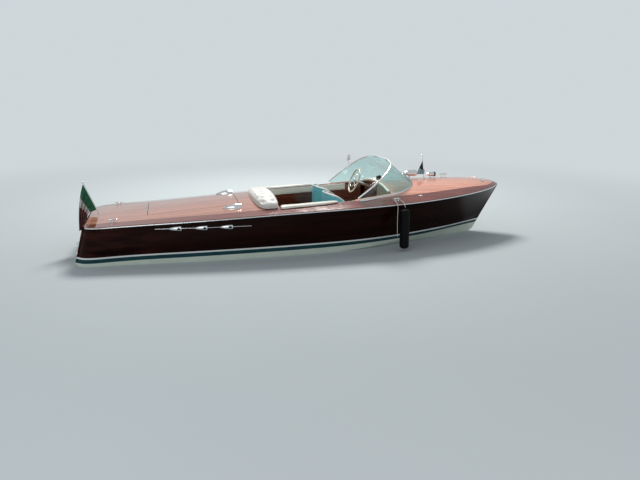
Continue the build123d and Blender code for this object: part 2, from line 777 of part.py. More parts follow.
def seated_cleat(name, side):
    x, y, length, height, spread, turn, carrier = CLEATS[name]
    carriers = [parts[n] for n in parts if n.startswith(carrier)]
    ground = deck_top(x, side * y)
    body = Pos(x, side * y, ground) * Rot(0, 0, side * turn) * cleat(length, height, spread)
    return trimmed(body, *carriers)


parts["bow_cleat"] = seated_cleat("bow_cleat", 1)
for name in ("midship_cleat", "stern_cleat"):
    parts[name + "s"] = Compound([seated_cleat(name, side) for side in (1, -1)])


def deck_plate(outline, thick):
    """A thin plate that follows the deck, under a plan outline."""
    return trimmed((Pos(0, 0, thick) * whole_deck) & plan_prism(outline), whole_deck)


stem_head = deck_plate([(6500, -90), (6760, -30), (6760, 30), (6500, 90), (6530, 0)], 4)

parts["stem_band"] = parts["stem_band"] + stem_head


def chock(side):
    """An open fairlead: a low block with a rounded slot across it."""
    x, y = 6330, 150
    block = fillet(Box(100, 26, 40).edges(), 6)
    slot = Rot(90, 0, 0) * Cylinder(13, 40) + Pos(0, 0, 15) * Box(14, 40, 30)
    body = Rot(0, 0, -side * 38) * (block - slot)
    return trimmed(Pos(x, side * y, deck_top(x, side * y) + 12) * body,
                   parts["foredeck"], parts["covering_board_port"], parts["covering_board_starboard"])


parts["bow_chocks"] = Compound([chock(side) for side in (1, -1)])


SCOOP_LENGTH, SCOOP_RADIUS = 265, 57


def scoop(length, radius, wall):
    """A teardrop hood turned about X: open mouth forward, drawn out to a point aft."""
    half = length / 2
    body = turned([
        swelling((-half, TIP), (0, radius * 0.9), (half, radius)),
        Polyline((half, radius), (half, 0), (-half, 0), (-half, TIP)),
    ])
    depth = half * 0.9
    hollow = turned([
        swelling((half - depth, TIP), (half - depth * 0.4, radius * 0.7), (half + 1, radius - wall)),
        Polyline((half + 1, radius - wall), (half + 1, 0), (half - depth, 0), (half - depth, TIP)),
    ])
    return body - hollow


def deck_scoop(side):
    x, y = 2170, 616
    ground = deck_top(x, y)
    crown_turn = -side * 7
    body = Rot(crown_turn, 0, 0) * (scoop(SCOOP_LENGTH, SCOOP_RADIUS, 5) & Pos(0, 0, 40) * Box(400, 400, 92))
    return trimmed(Pos(x, side * y, ground) * body, parts["aft_deck"],
                   parts["covering_board_port"], parts["covering_board_starboard"])


parts["deck_scoops"] = Compound([deck_scoop(side) for side in (1, -1)])

SIDE_VENTS = (1360, 1705, 2050)
VENT_Z = 510
VENT_STRIP = (1100, 2400)
VENT_STRIP_RADIUS = 4


def side_vents(side):
    """Three teardrop hoods in a row on the topside, joined by a thin strip."""
    body = None
    ends = (VENT_STRIP[0],) + SIDE_VENTS + (VENT_STRIP[1],)
    for start, stop in zip(ends[:-1], ends[1:]):
        bar = cylinder_between((start, outer_side(start, VENT_Z), VENT_Z),
                               (stop, outer_side(stop, VENT_Z), VENT_Z), VENT_STRIP_RADIUS)
        body = bar if body is None else body + bar
    for x in SIDE_VENTS:
        spread = outer_side(x + 100, VENT_Z) - outer_side(x - 100, VENT_Z)
        turn = math.degrees(math.atan2(spread, 200))
        hood = lamp_body(180, 36, 0.7) & Pos(0, 10, 0) * Box(300, 52, 200)
        body = body + Pos(x, outer_side(x, VENT_Z), VENT_Z) * Rot(0, 0, turn) * hood
    body = trimmed(body, parts["topside_port"])
    return body if side == 1 else mirrored(body)


parts["side_vents_port"] = side_vents(1)
parts["side_vents_starboard"] = side_vents(-1)

# Staffs and their cloths
STERN_STAFF = ((310, 0, 560), (108, 0, 1052))
BOW_STAFF = ((5372, 0, 930), (5332, 0, 1290))
STERN_STAFF_RADIUS = 8
BOW_STAFF_RADIUS = 5
FLAG_OUTLINE = [(112, 1030), (270, 640), (225, 608), (168, 608), (84, 335), (-5, 335), (5, 560), (30, 700),
                (60, 860)]
PENNANT_OUTLINE = [(5330, 1225), (5352, 1160), (5392, 1060), (5388, 1000), (5290, 985), (5240, 1010),
                   (5300, 1120)]


def staff(ends, radius, knob, carrier):
    """A light pole with a socket at its foot and a knob on top."""
    foot, head = ends
    pole = cylinder_between(foot, head, radius)
    way = (Vector(*head) - Vector(*foot)).normalized()
    socket = cylinder_between(foot, tuple(Vector(*foot) + way * 45), radius * 2)
    return trimmed(pole + socket + Pos(*head) * Sphere(knob), carrier)


parts["flagstaff"] = staff(STERN_STAFF, STERN_STAFF_RADIUS, 14, parts["aft_deck"])
parts["burgee_staff"] = staff(BOW_STAFF, BOW_STAFF_RADIUS, 9, parts["foredeck"])


def hanging(outline, thick, y):
    """A limp cloth as a closed solid of its own outline in side view."""
    face = Plane.XZ * make_face(Polyline(*outline, close=True))
    return Pos(0, y, 0) * extrude(face, thick / 2, both=True)


parts["flag"] = trimmed(
    hanging(FLAG_OUTLINE, 90, 0), cylinder_between(*STERN_STAFF, STERN_STAFF_RADIUS + 0.5),
    parts["aft_deck"], parts["transom"])
parts["pennant"] = trimmed(
    hanging(PENNANT_OUTLINE, 30, 0), cylinder_between(*BOW_STAFF, BOW_STAFF_RADIUS + 0.5))


# Padded rolls along the cockpit's edges: a length, the middle's half breadth, half width, height
Roll = namedtuple("Roll", "x y half tall")
ROLLS = [Roll(COCKPIT_AFT + 4, 857, 58, 34), Roll(3000, 858, 58, 34), Roll(3160, 858, 57, 33),
         Roll(3320, 857, 56, 32), Roll(3460, 855, 53, 30), Roll(3570, 850, 47, 27), Roll(3640, 845, 38, 23),
         Roll(3690, 840, 24, 17)]
ROLL_SEAT = 1
PAD_THICK = 22
PAD_TALL = 122


def cockpit_roll(side):
    """The padded roll along the cockpit's edge, half round over a flat underside."""
    faces = []
    for r in ROLLS:
        ends = (side * (r.y - r.half), side * (r.y + r.half))
        inner, outer = [(r.x, y, deck_top(r.x, y) + ROLL_SEAT) for y in ends]
        crown = (r.x, side * r.y, deck_top(r.x, side * r.y) + r.tall)
        arc = ThreePointArc(inner, crown, outer)
        faces.append(Face(Wire([arc, Line(arc @ 1, arc @ 0)])))
    return loft(faces)


def cockpit_pad(side):
    """The upholstered strip inside the cockpit, under the roll."""
    faces = []
    for x, y, drop in ((COCKPIT_AFT + 8, 824, 1), (3350, 834, 1), (3940, 802, 8), (4250, 736, 12)):
        top = deck_top(x, y - PAD_THICK / 2) - drop
        corners = [(y, top), (y, top - PAD_TALL), (y - PAD_THICK, top - PAD_TALL), (y - PAD_THICK, top)]
        points = [(x, side * b, z) for b, z in corners]
        faces.append(Face(Wire(Polyline(*points, close=True).edges())))
    return trimmed(loft(faces), parts["side_lining_" + ("port" if side == 1 else "starboard")])


for name, side in (("port", 1), ("starboard", -1)):
    parts["coaming_roll_" + name] = cockpit_roll(side)
    parts["coaming_pad_" + name] = trimmed(cockpit_pad(side), parts["coaming_roll_" + name])

# The long cushion across the deck: a half breadth, its aft and fore edges, and its height
Bolster = namedtuple("Bolster", "y aft fore tall")
BOLSTER = [Bolster(-870, 2655, 2790, 62), Bolster(-790, 2566, 2824, 90), Bolster(-640, 2518, 2836, 102),
           Bolster(-460, 2496, 2841, 104), Bolster(-260, 2487, 2842, 96), Bolster(-60, 2487, 2842, 80),
           Bolster(150, 2497, 2843, 64), Bolster(360, 2516, 2845, 53), Bolster(570, 2545, 2848, 46),
           Bolster(780, 2590, 2850, 41)]
SHOULDER = 0.62


def rear_deck_pad():
    """A soft slab that follows the deck's crown, full to starboard and flat to port."""
    faces = []
    for b in BOLSTER:
        middle = (b.aft + b.fore) / 2
        aft, under, fore = [Vector(x, b.y, deck_top(x, b.y) + 1) for x in (b.aft, middle, b.fore)]
        rise = Vector(0, 0, b.tall)
        crown = Spline(fore + rise * SHOULDER, under + rise, aft + rise * SHOULDER,
                       tangents=[(-0.6, 0, 1), (-0.6, 0, -1)])
        foot = ThreePointArc(aft, under, fore)
        faces.append(Face(Wire([foot, Line(foot @ 1, crown @ 0), crown, Line(crown @ 1, foot @ 0)])))
    return trimmed(loft(faces), parts["aft_deck"], parts["covering_board_port"],
                   parts["covering_board_starboard"])


parts["rear_deck_cushion"] = rear_deck_pad()


def mirror_head():
    """A round mirror on a stalk from the port side of the hoop."""
    stalk = cylinder_between((4345, 852, 1074), (4352, 900, 1170), 6)
    head = cylinder_between((4340, 900, 1195), (4362, 900, 1190), 55)
    return trimmed(stalk + head, hoop)


parts["mirror"] = mirror_head()

# Fittings on the transom
EYE_BORE = 12
EYE_THICK = 16
EYE_Y, EYE_Z = 430, 250


def transom_face(z):
    return FIRST.foot - TRANSOM_THICK + FIRST.rake * z


def stern_eye(side):
    """A towing eye: a round boss with a plain bore across the boat, on a back plate."""
    x = transom_face(EYE_Z) - 34
    ring = Rot(90, 0, 0) * Cylinder(24, EYE_THICK) + Pos(20, 0, 0) * Box(44, EYE_THICK, 34)
    plate = Pos(33, 0, 0) * Rot(0, math.degrees(math.atan(FIRST.rake)), 0) * Box(12, 46, 80)
    body = Pos(x, side * EYE_Y, EYE_Z) * (ring + plate - Rot(90, 0, 0) * Cylinder(EYE_BORE, 60))
    return trimmed(body, parts["transom"])


parts["stern_eyes"] = Compound([stern_eye(side) for side in (1, -1)])


def exhaust(side):
    z, y = 75, 300
    x = transom_face(z)
    tube = cylinder_between((x - 30, side * y, z), (x + 12, side * y, z), 36)
    flange = cylinder_between((x - 8, side * y, z), (x + 12, side * y, z), 46)
    hole = cylinder_between((x - 40, side * y, z), (x - 2, side * y, z), 30)
    return trimmed(tube + flange - hole, parts["transom"])


parts["exhausts"] = Compound([exhaust(side) for side in (1, -1)])


def hatch_hinges():
    """Two short barrels on the aft deck, on the line that the hatch turns about."""
    bodies = []
    for y in (180, -180):
        z = deck_top(HATCH_AFT - 30, y)
        barrel = cylinder_between((HATCH_PIVOT_X, y - 40, HATCH_PIVOT_Z),
                                  (HATCH_PIVOT_X, y + 40, HATCH_PIVOT_Z), 4.5)
        leaf = Pos(HATCH_PIVOT_X - 24, y, z) * Box(44, 80, 5)
        bodies.append(trimmed(barrel + leaf, parts["aft_deck"], parts["engine_hatch"]))
    return Compound(bodies)


parts["hatch_hinges"] = hatch_hinges()

# The fender and its rope
FENDER = (4660, -1022)
FENDER_RADIUS = 70
FENDER_FOOT, FENDER_TOP = 50, 640


def make_fender():
    """A black cylinder with domed ends and an eye on top."""
    x, y = FENDER
    tall = FENDER_TOP - FENDER_FOOT
    body = Cylinder(FENDER_RADIUS, tall)
    body = fillet(body.edges().filter_by(GeomType.CIRCLE), 45)
    eye = Pos(0, 0, tall / 2 + 10) * Rot(0, 0, 45) * Box(20, 10, 31)
    return Pos(x, y, (FENDER_FOOT + FENDER_TOP) / 2) * (body + eye)


parts["fender"] = make_fender()

ROPE_RADIUS = 4.5
ROPE = [
    (4660, -1022, 667), (4656, -1014, 704), (4645, -988, 738), (4632, -950, 750),
    (4624, -912, 760), (4600, -880, 773), (4560, -872, 777), (4527, -888, 772),
    (4519, -922, 761), (4528, -962, 750), (4540, -1000, 730), (4546, -1019, 690),
    (4548, -1020, 620), (4545, -1016, 490), (4548, -1020, 360), (4552, -1018, 230),
]


def rope_radii(points):
    """Each corner's arc takes as much of its shorter run as two corners can share."""
    radii = []
    for before, corner, after in zip(points, points[1:], points[2:]):
        into = Vector(*corner) - Vector(*before)
        out = Vector(*after) - Vector(*corner)
        turn = math.radians(into.get_angle(out))
        radii.append(0.45 * min(into.length, out.length) / math.tan(turn / 2))
    print("rope radii", [round(r) for r in radii])
    return radii


def make_rope():
    path = FilletPolyline(*ROPE, radius=rope_radii(ROPE))
    print("rope length", round(path.length))
    return sweep(Plane(origin=path @ 0, z_dir=path % 0) * Circle(ROPE_RADIUS), path)


parts["fender_rope"] = make_rope()

# Like pieces on the hull share a node
JOINED = {
    "rub_rails": ("rub_rail_port", "rub_rail_starboard"),
    "side_vents": ("side_vents_port", "side_vents_starboard"),
    "coaming_rolls": ("coaming_roll_port", "coaming_roll_starboard"),
    "coaming_pads": ("coaming_pad_port", "coaming_pad_starboard"),
    "side_linings": ("side_lining_port", "side_lining_starboard"),
    "bulkheads": ("aft_bulkhead", "fore_bulkhead"),
    "seat_bases": ("front_seat_bases", "rear_seat_base"),
    "seat_cushions": ("front_seat_cushions", "rear_seat_cushion"),
    "stern_gear": ("shaft_log", "shaft_strut", "rudder_tube"),
}
for name, members in JOINED.items():
    parts[name] = Compound([solid for member in members for solid in parts.pop(member).solids()])

for name, part in parts.items():
    solids = part.solids()
    export_step(solids[0] if len(solids) == 1 else Compound(solids), "parts/" + name + ".step")
    print(name, len(solids), round(part.volume / 1e6, 2))
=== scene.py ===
# %% [markdown]
# A varnished mahogany runabout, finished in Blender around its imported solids.
# The solids hold every rigid form at its real size. This script gives each one its finish, makes the
# soft and fine pieces that solids can't show, and lights the boat on a pale floor at its waterline.
# Everything is in metres: X runs forward from the foot of the transom, Y to port, Z up from the
# waterline.

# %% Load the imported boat
import math

import bmesh
import bpy
import numpy as np
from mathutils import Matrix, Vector, noise
from mathutils.bvhtree import BVHTree
from mathutils.kdtree import KDTree


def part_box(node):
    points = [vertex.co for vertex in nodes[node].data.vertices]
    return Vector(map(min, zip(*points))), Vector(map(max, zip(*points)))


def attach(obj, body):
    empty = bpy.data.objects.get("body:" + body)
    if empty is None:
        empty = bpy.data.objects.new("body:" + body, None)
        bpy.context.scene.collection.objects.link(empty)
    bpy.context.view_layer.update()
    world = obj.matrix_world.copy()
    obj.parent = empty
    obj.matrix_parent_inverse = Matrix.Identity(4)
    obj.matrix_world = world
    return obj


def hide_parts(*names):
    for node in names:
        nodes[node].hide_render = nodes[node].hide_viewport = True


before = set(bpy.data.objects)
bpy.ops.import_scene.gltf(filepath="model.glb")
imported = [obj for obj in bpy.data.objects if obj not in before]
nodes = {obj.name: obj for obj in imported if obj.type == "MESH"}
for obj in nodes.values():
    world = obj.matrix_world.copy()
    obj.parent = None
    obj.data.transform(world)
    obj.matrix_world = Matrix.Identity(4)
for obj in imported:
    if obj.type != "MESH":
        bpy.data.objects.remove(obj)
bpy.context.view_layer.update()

# %% [markdown]
# The camera stands about nine metres off the starboard side and higher than the deck. Its place and
# lens were solved from points of the hull whose real places are known, so the boat lands on the same
# pixels as in the reference view.

# %% Camera
CAMERA_PLACE = (1.3295, -9.4086, 2.390)
CAMERA_TILT = 76.08
CAMERA_PAN = -13.70
LENS = 34.91

camera_data = bpy.data.cameras.new("camera")
camera_data.lens = LENS
camera_data.sensor_width = 36
camera = bpy.data.objects.new("camera", camera_data)
camera.location = CAMERA_PLACE
camera.rotation_euler = (math.radians(CAMERA_TILT), 0, math.radians(CAMERA_PAN))
bpy.context.scene.collection.objects.link(camera)
bpy.context.scene.camera = camera
print("camera at", CAMERA_PLACE, "lens", LENS, "mm")

# %% [markdown]
# Nearly every piece is a skin of faces between rings of points: a rope's strand, a roll of padding, a
# wheel's rim. So the first helpers join such rings and turn the result into an object whose faces
# point outwards. They come before the pieces, because everything below is made with them.

# %% Mesh helpers


def to_object(name, mesh, smooth_angle=35):
    """A linked object for a mesh, smooth except at edges sharper than an angle."""
    obj = bpy.data.objects.new(name, mesh)
    bpy.context.scene.collection.objects.link(obj)
    mesh.shade_smooth()
    mesh.set_sharp_from_angle(angle=math.radians(smooth_angle))
    return obj


def build(name, shape, smooth_angle=35):
    """An object from a bmesh, with doubles merged and faces turned outwards."""
    bmesh.ops.remove_doubles(shape, verts=shape.verts, dist=1e-6)
    bmesh.ops.recalc_face_normals(shape, faces=shape.faces)
    mesh = bpy.data.meshes.new(name)
    shape.to_mesh(mesh)
    shape.free()
    return to_object(name, mesh, smooth_angle)


def ring_skin(shape, rings, closed=True, ends="capped"):
    """Faces between rings of points. The first and last ring are capped, open or joined."""
    rows = [[shape.verts.new(p) for p in ring] for ring in rings]
    count = len(rows[0])
    pairs = list(zip(rows, rows[1:]))
    if ends == "joined":
        pairs.append((rows[-1], rows[0]))
    for low, high in pairs:
        for i in range(count if closed else count - 1):
            j = (i + 1) % count
            shape.faces.new((low[i], low[j], high[j], high[i]))
    if ends == "capped":
        shape.faces.new(list(reversed(rows[0])))
        shape.faces.new(rows[-1])


def turns_round(count):
    """Angles at even steps round a circle."""
    return [2 * math.pi * k / count for k in range(count)]


def ring_of(centre, across, up, sides):
    """A round or oval ring of points about a centre, from its two half axes."""
    return [centre + across * math.cos(t) + up * math.sin(t) for t in turns_round(sides)]


def skinned(name, skins, smooth_angle=35, ends="capped"):
    """An object made of one or more skins, each a list of rings."""
    shape = bmesh.new()
    for rings in skins:
        ring_skin(shape, rings, ends=ends)
    return build(name, shape, smooth_angle)


# %% [markdown]
# Rope, piping and stitches follow smooth lines. A NURBS curve gives such a line from a few points of
# the route. The frames along it are turned as little as possible from point to point, so that a tube
# or a strand laid round the line doesn't twist by itself.

# %% Lines and tubes


def nurbs_points(name, route, per_span=12):
    """Points along the smooth NURBS line that has the route as its control points."""
    curve = bpy.data.curves.new(name + "_line", "CURVE")
    curve.dimensions = "3D"
    curve.resolution_u = per_span
    spline = curve.splines.new("NURBS")
    spline.points.add(len(route) - 1)
    for point, place in zip(spline.points, route):
        point.co = (*place, 1)
    spline.order_u = 3
    spline.use_endpoint_u = True
    holder = bpy.data.objects.new(name + "_line", curve)
    mesh = bpy.data.meshes.new_from_object(holder)
    points = [v.co.copy() for v in mesh.vertices]
    bpy.data.objects.remove(holder)
    bpy.data.meshes.remove(mesh)
    return points


def frames_along(points):
    """An upright pair of cross directions at each point, turned as little as possible."""
    ways = []
    for i in range(len(points)):
        ways.append((points[min(i + 1, len(points) - 1)] - points[max(i - 1, 0)]).normalized())
    side = ways[0].orthogonal().normalized()
    pairs = []
    for way in ways:
        side = (side - way * side.dot(way)).normalized()
        pairs.append((side, way.cross(side)))
    return pairs


def tube_rings(points, radius, sides):
    """Rings of a round tube along points."""
    return [ring_of(point, across * radius, up * radius, sides)
            for point, (across, up) in zip(points, frames_along(points))]


# %% [markdown]
# The fender hangs from a thin white rope: up from its eye, over the covering board, round the cleat
# and down again to a bare end. Three strands are laid round the rope's smooth line, which is how
# the real rope is made and why its outline looks knobbly close to.

# %% Fender rope
ROPE_ROUTE = [
    (4.660, -1.022, 0.667), (4.656, -1.014, 0.704), (4.645, -0.988, 0.738), (4.632, -0.950, 0.750),
    (4.624, -0.912, 0.760), (4.600, -0.880, 0.773), (4.560, -0.872, 0.777), (4.527, -0.888, 0.772),
    (4.519, -0.922, 0.761), (4.528, -0.962, 0.750), (4.540, -1.000, 0.730), (4.546, -1.019, 0.690),
    (4.548, -1.020, 0.620), (4.545, -1.016, 0.490), (4.548, -1.020, 0.360), (4.552, -1.018, 0.230),
]
ROPE_DIAMETER = 0.009
STRANDS = 3
LAY_LENGTH = 0.034
STRAND_SHARE = 0.27


def make_rope(name, points):
    """Strands twisted round a line, one turn each lay length."""
    strands = []
    strand_radius = ROPE_DIAMETER * STRAND_SHARE
    orbit = ROPE_DIAMETER / 2 - strand_radius
    pairs = frames_along(points)
    for strand in range(STRANDS):
        line = []
        run = 0.0
        for i, (point, (across, up)) in enumerate(zip(points, pairs)):
            if i:
                run += (point - points[i - 1]).length
            turn = 2 * math.pi * (run / LAY_LENGTH + strand / STRANDS)
            line.append(point + across * math.cos(turn) * orbit + up * math.sin(turn) * orbit)
        strands.append(tube_rings(line, strand_radius, 8))
    return skinned(name, strands, 60)


rope_line = nurbs_points("fender_rope", ROPE_ROUTE, per_span=20)
rope_length = sum((b - a).length for a, b in zip(rope_line, rope_line[1:]))
fender_rope = make_rope("fender_rope_strands", rope_line)
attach(fender_rope, "hull")
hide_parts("fender_rope")
print("rope length", round(rope_length, 3), "m")

# %% [markdown]
# The floor lies at height zero, which is the boat's waterline, and the hull goes through it. It has a
# hole of the waterplane's shape: level rays from outside find the planking at each length, and the
# hole's edge lies just inside the planks, so that nothing of the floor shows in the boat.

# %% Floor with the waterplane cut out
FLOOR_RADIUS = 90
FLOOR_CENTRE = Vector((3.0, 0, 0))
FLOOR_RINGS = (0, 0.1, 0.3, 1)
EDGE_INSIDE_PLANKS = 0.006
WATERPLANE_STEPS = 56


def tree_of(*names):
    """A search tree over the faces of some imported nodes."""
    shape = bmesh.new()
    for name in names:
        shape.from_mesh(nodes[name].data)
    tree = BVHTree.FromBMesh(shape)
    shape.free()
    return tree


def struck(tree, start, way):
    """Where a ray first meets a tree's faces, and which way the face looks there."""
    return tree.ray_cast(Vector(start), Vector(way))[:2]


def half_waterplane():
    """Points of the port side of the waterplane, from the transom to the stem."""
    planks = tree_of("bottom_port", "topside_port", "stem", "keel", "transom")
    aft = struck(planks, (-1, 0.2, 0), (1, 0, 0))[0].x + EDGE_INSIDE_PLANKS
    fore = struck(planks, (8, 0.001, 0), (-1, 0, 0))[0].x - EDGE_INSIDE_PLANKS
    edge = [(aft, 0)]
    for i in range(WATERPLANE_STEPS + 1):
        share = (1 - math.cos(math.pi * i / WATERPLANE_STEPS)) / 2
        x = aft + (fore - aft) * share
        hit = struck(planks, (x, 3, 0), (0, -1, 0))[0]
        if hit and hit.y > 2 * EDGE_INSIDE_PLANKS:
            edge.append((x, hit.y - EDGE_INSIDE_PLANKS))
    return edge + [(fore, 0)]


def make_floor():
    """A wide flat sheet in rings round the waterplane's outline, facing up."""
    edge = half_waterplane()
    outline = [Vector((x, y, 0)) for x, y in edge + [(x, -y) for x, y in reversed(edge[1:-1])]]
    rings = []
    for reach in FLOOR_RINGS:
        far = [FLOOR_CENTRE + (near - FLOOR_CENTRE).normalized() * FLOOR_RADIUS for near in outline]
        rings.append([near.lerp(end, reach) for near, end in zip(outline, far)])
    floor = skinned("floor", [rings], ends="open")
    if floor.data.polygons[0].normal.z < 0:
        floor.data.flip_normals()
    print("waterplane half beam", round(max(y for x, y in edge), 3), "m,", len(outline), "points")
    return floor


floor = make_floor()

# %% [markdown]
# The world and every finish are small networks of nodes. Writing one link at a time would hide what
# each one does, so a short class wraps a node tree: each method adds one node, feeds its inputs with
# numbers, colours or other nodes' outputs, and hands back its result.

# %% A shorthand for node trees


class Net:
    """A shader node tree with one short call for each kind of node these finishes use."""

    def __init__(self, tree):
        self.tree = tree

    def feed(self, socket, value):
        """Links another node's output to a socket, or sets the socket's own value."""
        if isinstance(value, bpy.types.NodeSocket):
            self.tree.links.new(value, socket)
        elif isinstance(value, tuple) and len(value) == 3 and socket.type == "RGBA":
            socket.default_value = (*value, 1)
        else:
            socket.default_value = value

    def node(self, kind, inputs, **fields):
        """A new node with its inputs fed, its settings given as fields."""
        node = self.tree.nodes.new("ShaderNode" + kind)
        for field, value in fields.items():
            setattr(node, field, value)
        for key, value in inputs.items():
            self.feed(node.inputs[key], value)
        return node

    def math(self, operation, a, b=0.0):
        """An operation on one or two values."""
        return self.node("Math", {0: a, 1: b}, operation=operation).outputs[0]

    def times(self, a, b):
        """One value times another."""
        return self.math("MULTIPLY", a, b)

    def plus(self, a, b):
        """The sum of two values."""
        return self.math("ADD", a, b)

    def minus(self, a, b):
        """One value less another."""
        return self.math("SUBTRACT", a, b)

    def remap(self, value, low, high, to_low=0.0, to_high=1.0):
        """A value moved from one range to another, and held inside it."""
        keys = {"Value": value, "From Min": low, "From Max": high, "To Min": to_low, "To Max": to_high}
        return self.node("MapRange", keys).outputs[0]

    def blend(self, share, a, b, way="MIX"):
        """Colour a turned into colour b by a share."""
        node = self.node("Mix", {0: share}, data_type="RGBA", blend_type=way)
        self.feed(node.inputs[6], a)
        self.feed(node.inputs[7], b)
        return node.outputs[2]

    def stretch(self, vector, scale, turn=(0, 0, 0)):
        """Coordinates scaled by axis and turned."""
        return self.node("Mapping", {"Vector": vector, "Scale": scale, "Rotation": turn}).outputs[0]

    def noise(self, vector, scale, detail=3.0, rough=0.5, distortion=0.0):
        """Soft clouds of values around a half."""
        keys = {"Vector": vector, "Scale": scale, "Detail": detail, "Roughness": rough,
                "Distortion": distortion}
        return self.node("TexNoise", keys).outputs[0]

    def cells(self, vector, scale):
        """The distance to the nearest of many scattered points."""
        return self.node("TexVoronoi", {"Vector": vector, "Scale": scale}).outputs[0]

    def parts(self, vector):
        """A vector's X, Y and Z."""
        return self.node("SeparateXYZ", {"Vector": vector}).outputs

    def tinted(self, colour, tone, low, high):
        """A colour made darker or lighter by a tone from 0 to 1."""
        tint = self.remap(tone, 0, 1, low, high)
        tints = self.node("CombineXYZ", {0: tint, 1: tint, 2: tint}).outputs[0]
        return self.blend(1.0, colour, tints, "MULTIPLY")

    def bump(self, height, strength, distance):
        """A normal that leans with the slope of a height."""
        keys = {"Height": height, "Strength": strength, "Distance": distance}
        return self.node("Bump", keys).outputs[0]

    def place(self):
        """Places on the piece in metres, in the boat's own frame."""
        return self.node("TexCoord", {}).outputs["Object"]

    def effect(self, group, **inputs):
        """A shared effect, placed with its own values. Input names have spaces for underscores."""
        node = self.tree.nodes.new("ShaderNodeGroup")
        node.node_tree = group
        for name, value in inputs.items():
            self.feed(node.inputs[name.replace("_", " ")], value)
        return node.outputs


# %% [markdown]
# An effect that several finishes share, such as wood grain, becomes a group with named inputs and
# outputs. A material keeps its shader to itself and takes such effects in with its own values.

# %% New groups and new materials


def new_group(name, inputs, outputs):
    """A shader node group: its tree, its net, its input sockets and its output sockets."""
    tree = bpy.data.node_groups.new(name, "ShaderNodeTree")
    for socket, default in inputs.items():
        kind = "NodeSocketVector" if default is None else "NodeSocketFloat"
        made = tree.interface.new_socket(socket, in_out="INPUT", socket_type=kind)
        if default is not None:
            made.default_value = default
    for socket in outputs:
        tree.interface.new_socket(socket, in_out="OUTPUT", socket_type="NodeSocketFloat")
    entry = tree.nodes.new("NodeGroupInput")
    result = tree.nodes.new("NodeGroupOutput")
    return tree, Net(tree), entry.outputs, result.inputs


def new_material(name, **shader):
    """A material, its net and its Principled shader with constants set on the shader's own sockets."""
    material = bpy.data.materials.new(name)
    material.use_nodes = True
    principled = material.node_tree.nodes["Principled BSDF"]
    net = Net(material.node_tree)
    for key, value in shader.items():
        net.feed(principled.inputs[key.replace("_", " ")], value)
    return material, net, principled.inputs


# %% [markdown]
# One big soft lamp stands high on the port side, so the decks are bright and the starboard topside
# stays in shade, and a weak one opens that shade a little. The world gives an even, slightly cool
# fill. What the camera sees behind the boat, directly or through glass, is a plain pale colour, set
# apart from the fill by asking the Light Path node which kind of ray is looking.

# %% Lamps and world
BACKDROP = (0.62, 0.675, 0.70)
FILL_LEVEL = 0.50


def lamp(name, place, target, size, watts, colour):
    """A round soft lamp at a place, turned towards a target."""
    data = bpy.data.lights.new(name, "AREA")
    data.shape = "DISK"
    data.size = size
    data.energy = watts
    data.color = colour
    obj = bpy.data.objects.new(name, data)
    obj.location = place
    obj.rotation_euler = (Vector(target) - Vector(place)).to_track_quat("-Z", "Y").to_euler()
    bpy.context.scene.collection.objects.link(obj)
    print(name, watts, "W at", place)


lamp("high_lamp", (4.5, 6.5, 10.0), (3.2, 0, 0.4), 4.0, 1500, (1.0, 0.97, 0.92))
lamp("shade_lamp", (-1.5, -9.0, 6.0), (3.2, 0, 0.5), 5.0, 140, (0.93, 0.96, 1.0))

world = bpy.data.worlds.new("studio")
bpy.context.scene.world = world
world.use_nodes = True
world.node_tree.nodes.clear()
net = Net(world.node_tree)
looks = net.node("LightPath", {}).outputs
seen = net.math("MAXIMUM", looks["Is Camera Ray"], looks["Is Transmission Ray"])
fill = net.node("Background", {"Color": (0.93, 0.97, 1.0), "Strength": FILL_LEVEL}).outputs[0]
backdrop = net.node("Background", {"Color": BACKDROP, "Strength": 1.0}).outputs[0]
choose = net.node("MixShader", {0: seen, 1: fill, 2: backdrop}).outputs[0]
net.node("OutputWorld", {"Surface": choose})
bpy.context.scene.view_settings.view_transform = "Standard"
print("world fill", FILL_LEVEL, "backdrop", BACKDROP)

# %% [markdown]
# Mahogany shows two things under varnish: a broad figure that runs along the board, and fine dark
# pores. Both are noise stretched along the grain. They live in one group, because the planking, the
# decks, the dash and the sole all use it with their own lengths and widths.

# %% Wood grain group
grain, net, given, result = new_group(
    "wood_grain", {"Vector": None, "Length": 1.0, "Width": 1.0}, ("Figure", "Pores"))
slow = net.math("DIVIDE", 1.1, given["Length"])
quick = net.math("DIVIDE", 15.0, given["Width"])
along = net.node("CombineXYZ", {0: slow, 1: quick, 2: quick}).outputs[0]
scaled = net.node("VectorMath", {0: given["Vector"], 1: along}, operation="MULTIPLY").outputs[0]
net.feed(result["Figure"], net.noise(scaled, 1.0, 5.0, 0.62, 0.7))
pore_grid = net.stretch(given["Vector"], (7, 330, 330))
net.feed(result["Pores"], net.remap(net.noise(pore_grid, 1.0, 1.0), 0.56, 0.72))
print("wood grain", len(grain.nodes), "nodes")

# %% [markdown]
# Planking is laid in strakes with a thin seam between them, and no two strakes are quite the same
# colour. This group takes a distance across the planks and gives a mask of the seams and a steady
# random tone for each plank.

# %% Plank seam group
SEAM_SOFTNESS = 0.0008

planks, net, given, result = new_group(
    "plank_seams", {"Across": 0.0, "Plank width": 0.05, "Seam width": 0.003}, ("Seam", "Tone"))
count = net.math("DIVIDE", given["Across"], given["Plank width"])
from_edge = net.math("PINGPONG", count, 0.5)
distance = net.times(from_edge, given["Plank width"])
half_seam = net.times(given["Seam width"], 0.5)
seam_edge = net.plus(half_seam, SEAM_SOFTNESS)
net.feed(result["Seam"], net.remap(distance, half_seam, seam_edge, 1.0, 0.0))
tone = net.node("TexWhiteNoise", {"W": net.math("FLOOR", count)}, noise_dimensions="1D")
net.feed(result["Tone"], tone.outputs["Value"])
print("plank seams", len(planks.nodes), "nodes")

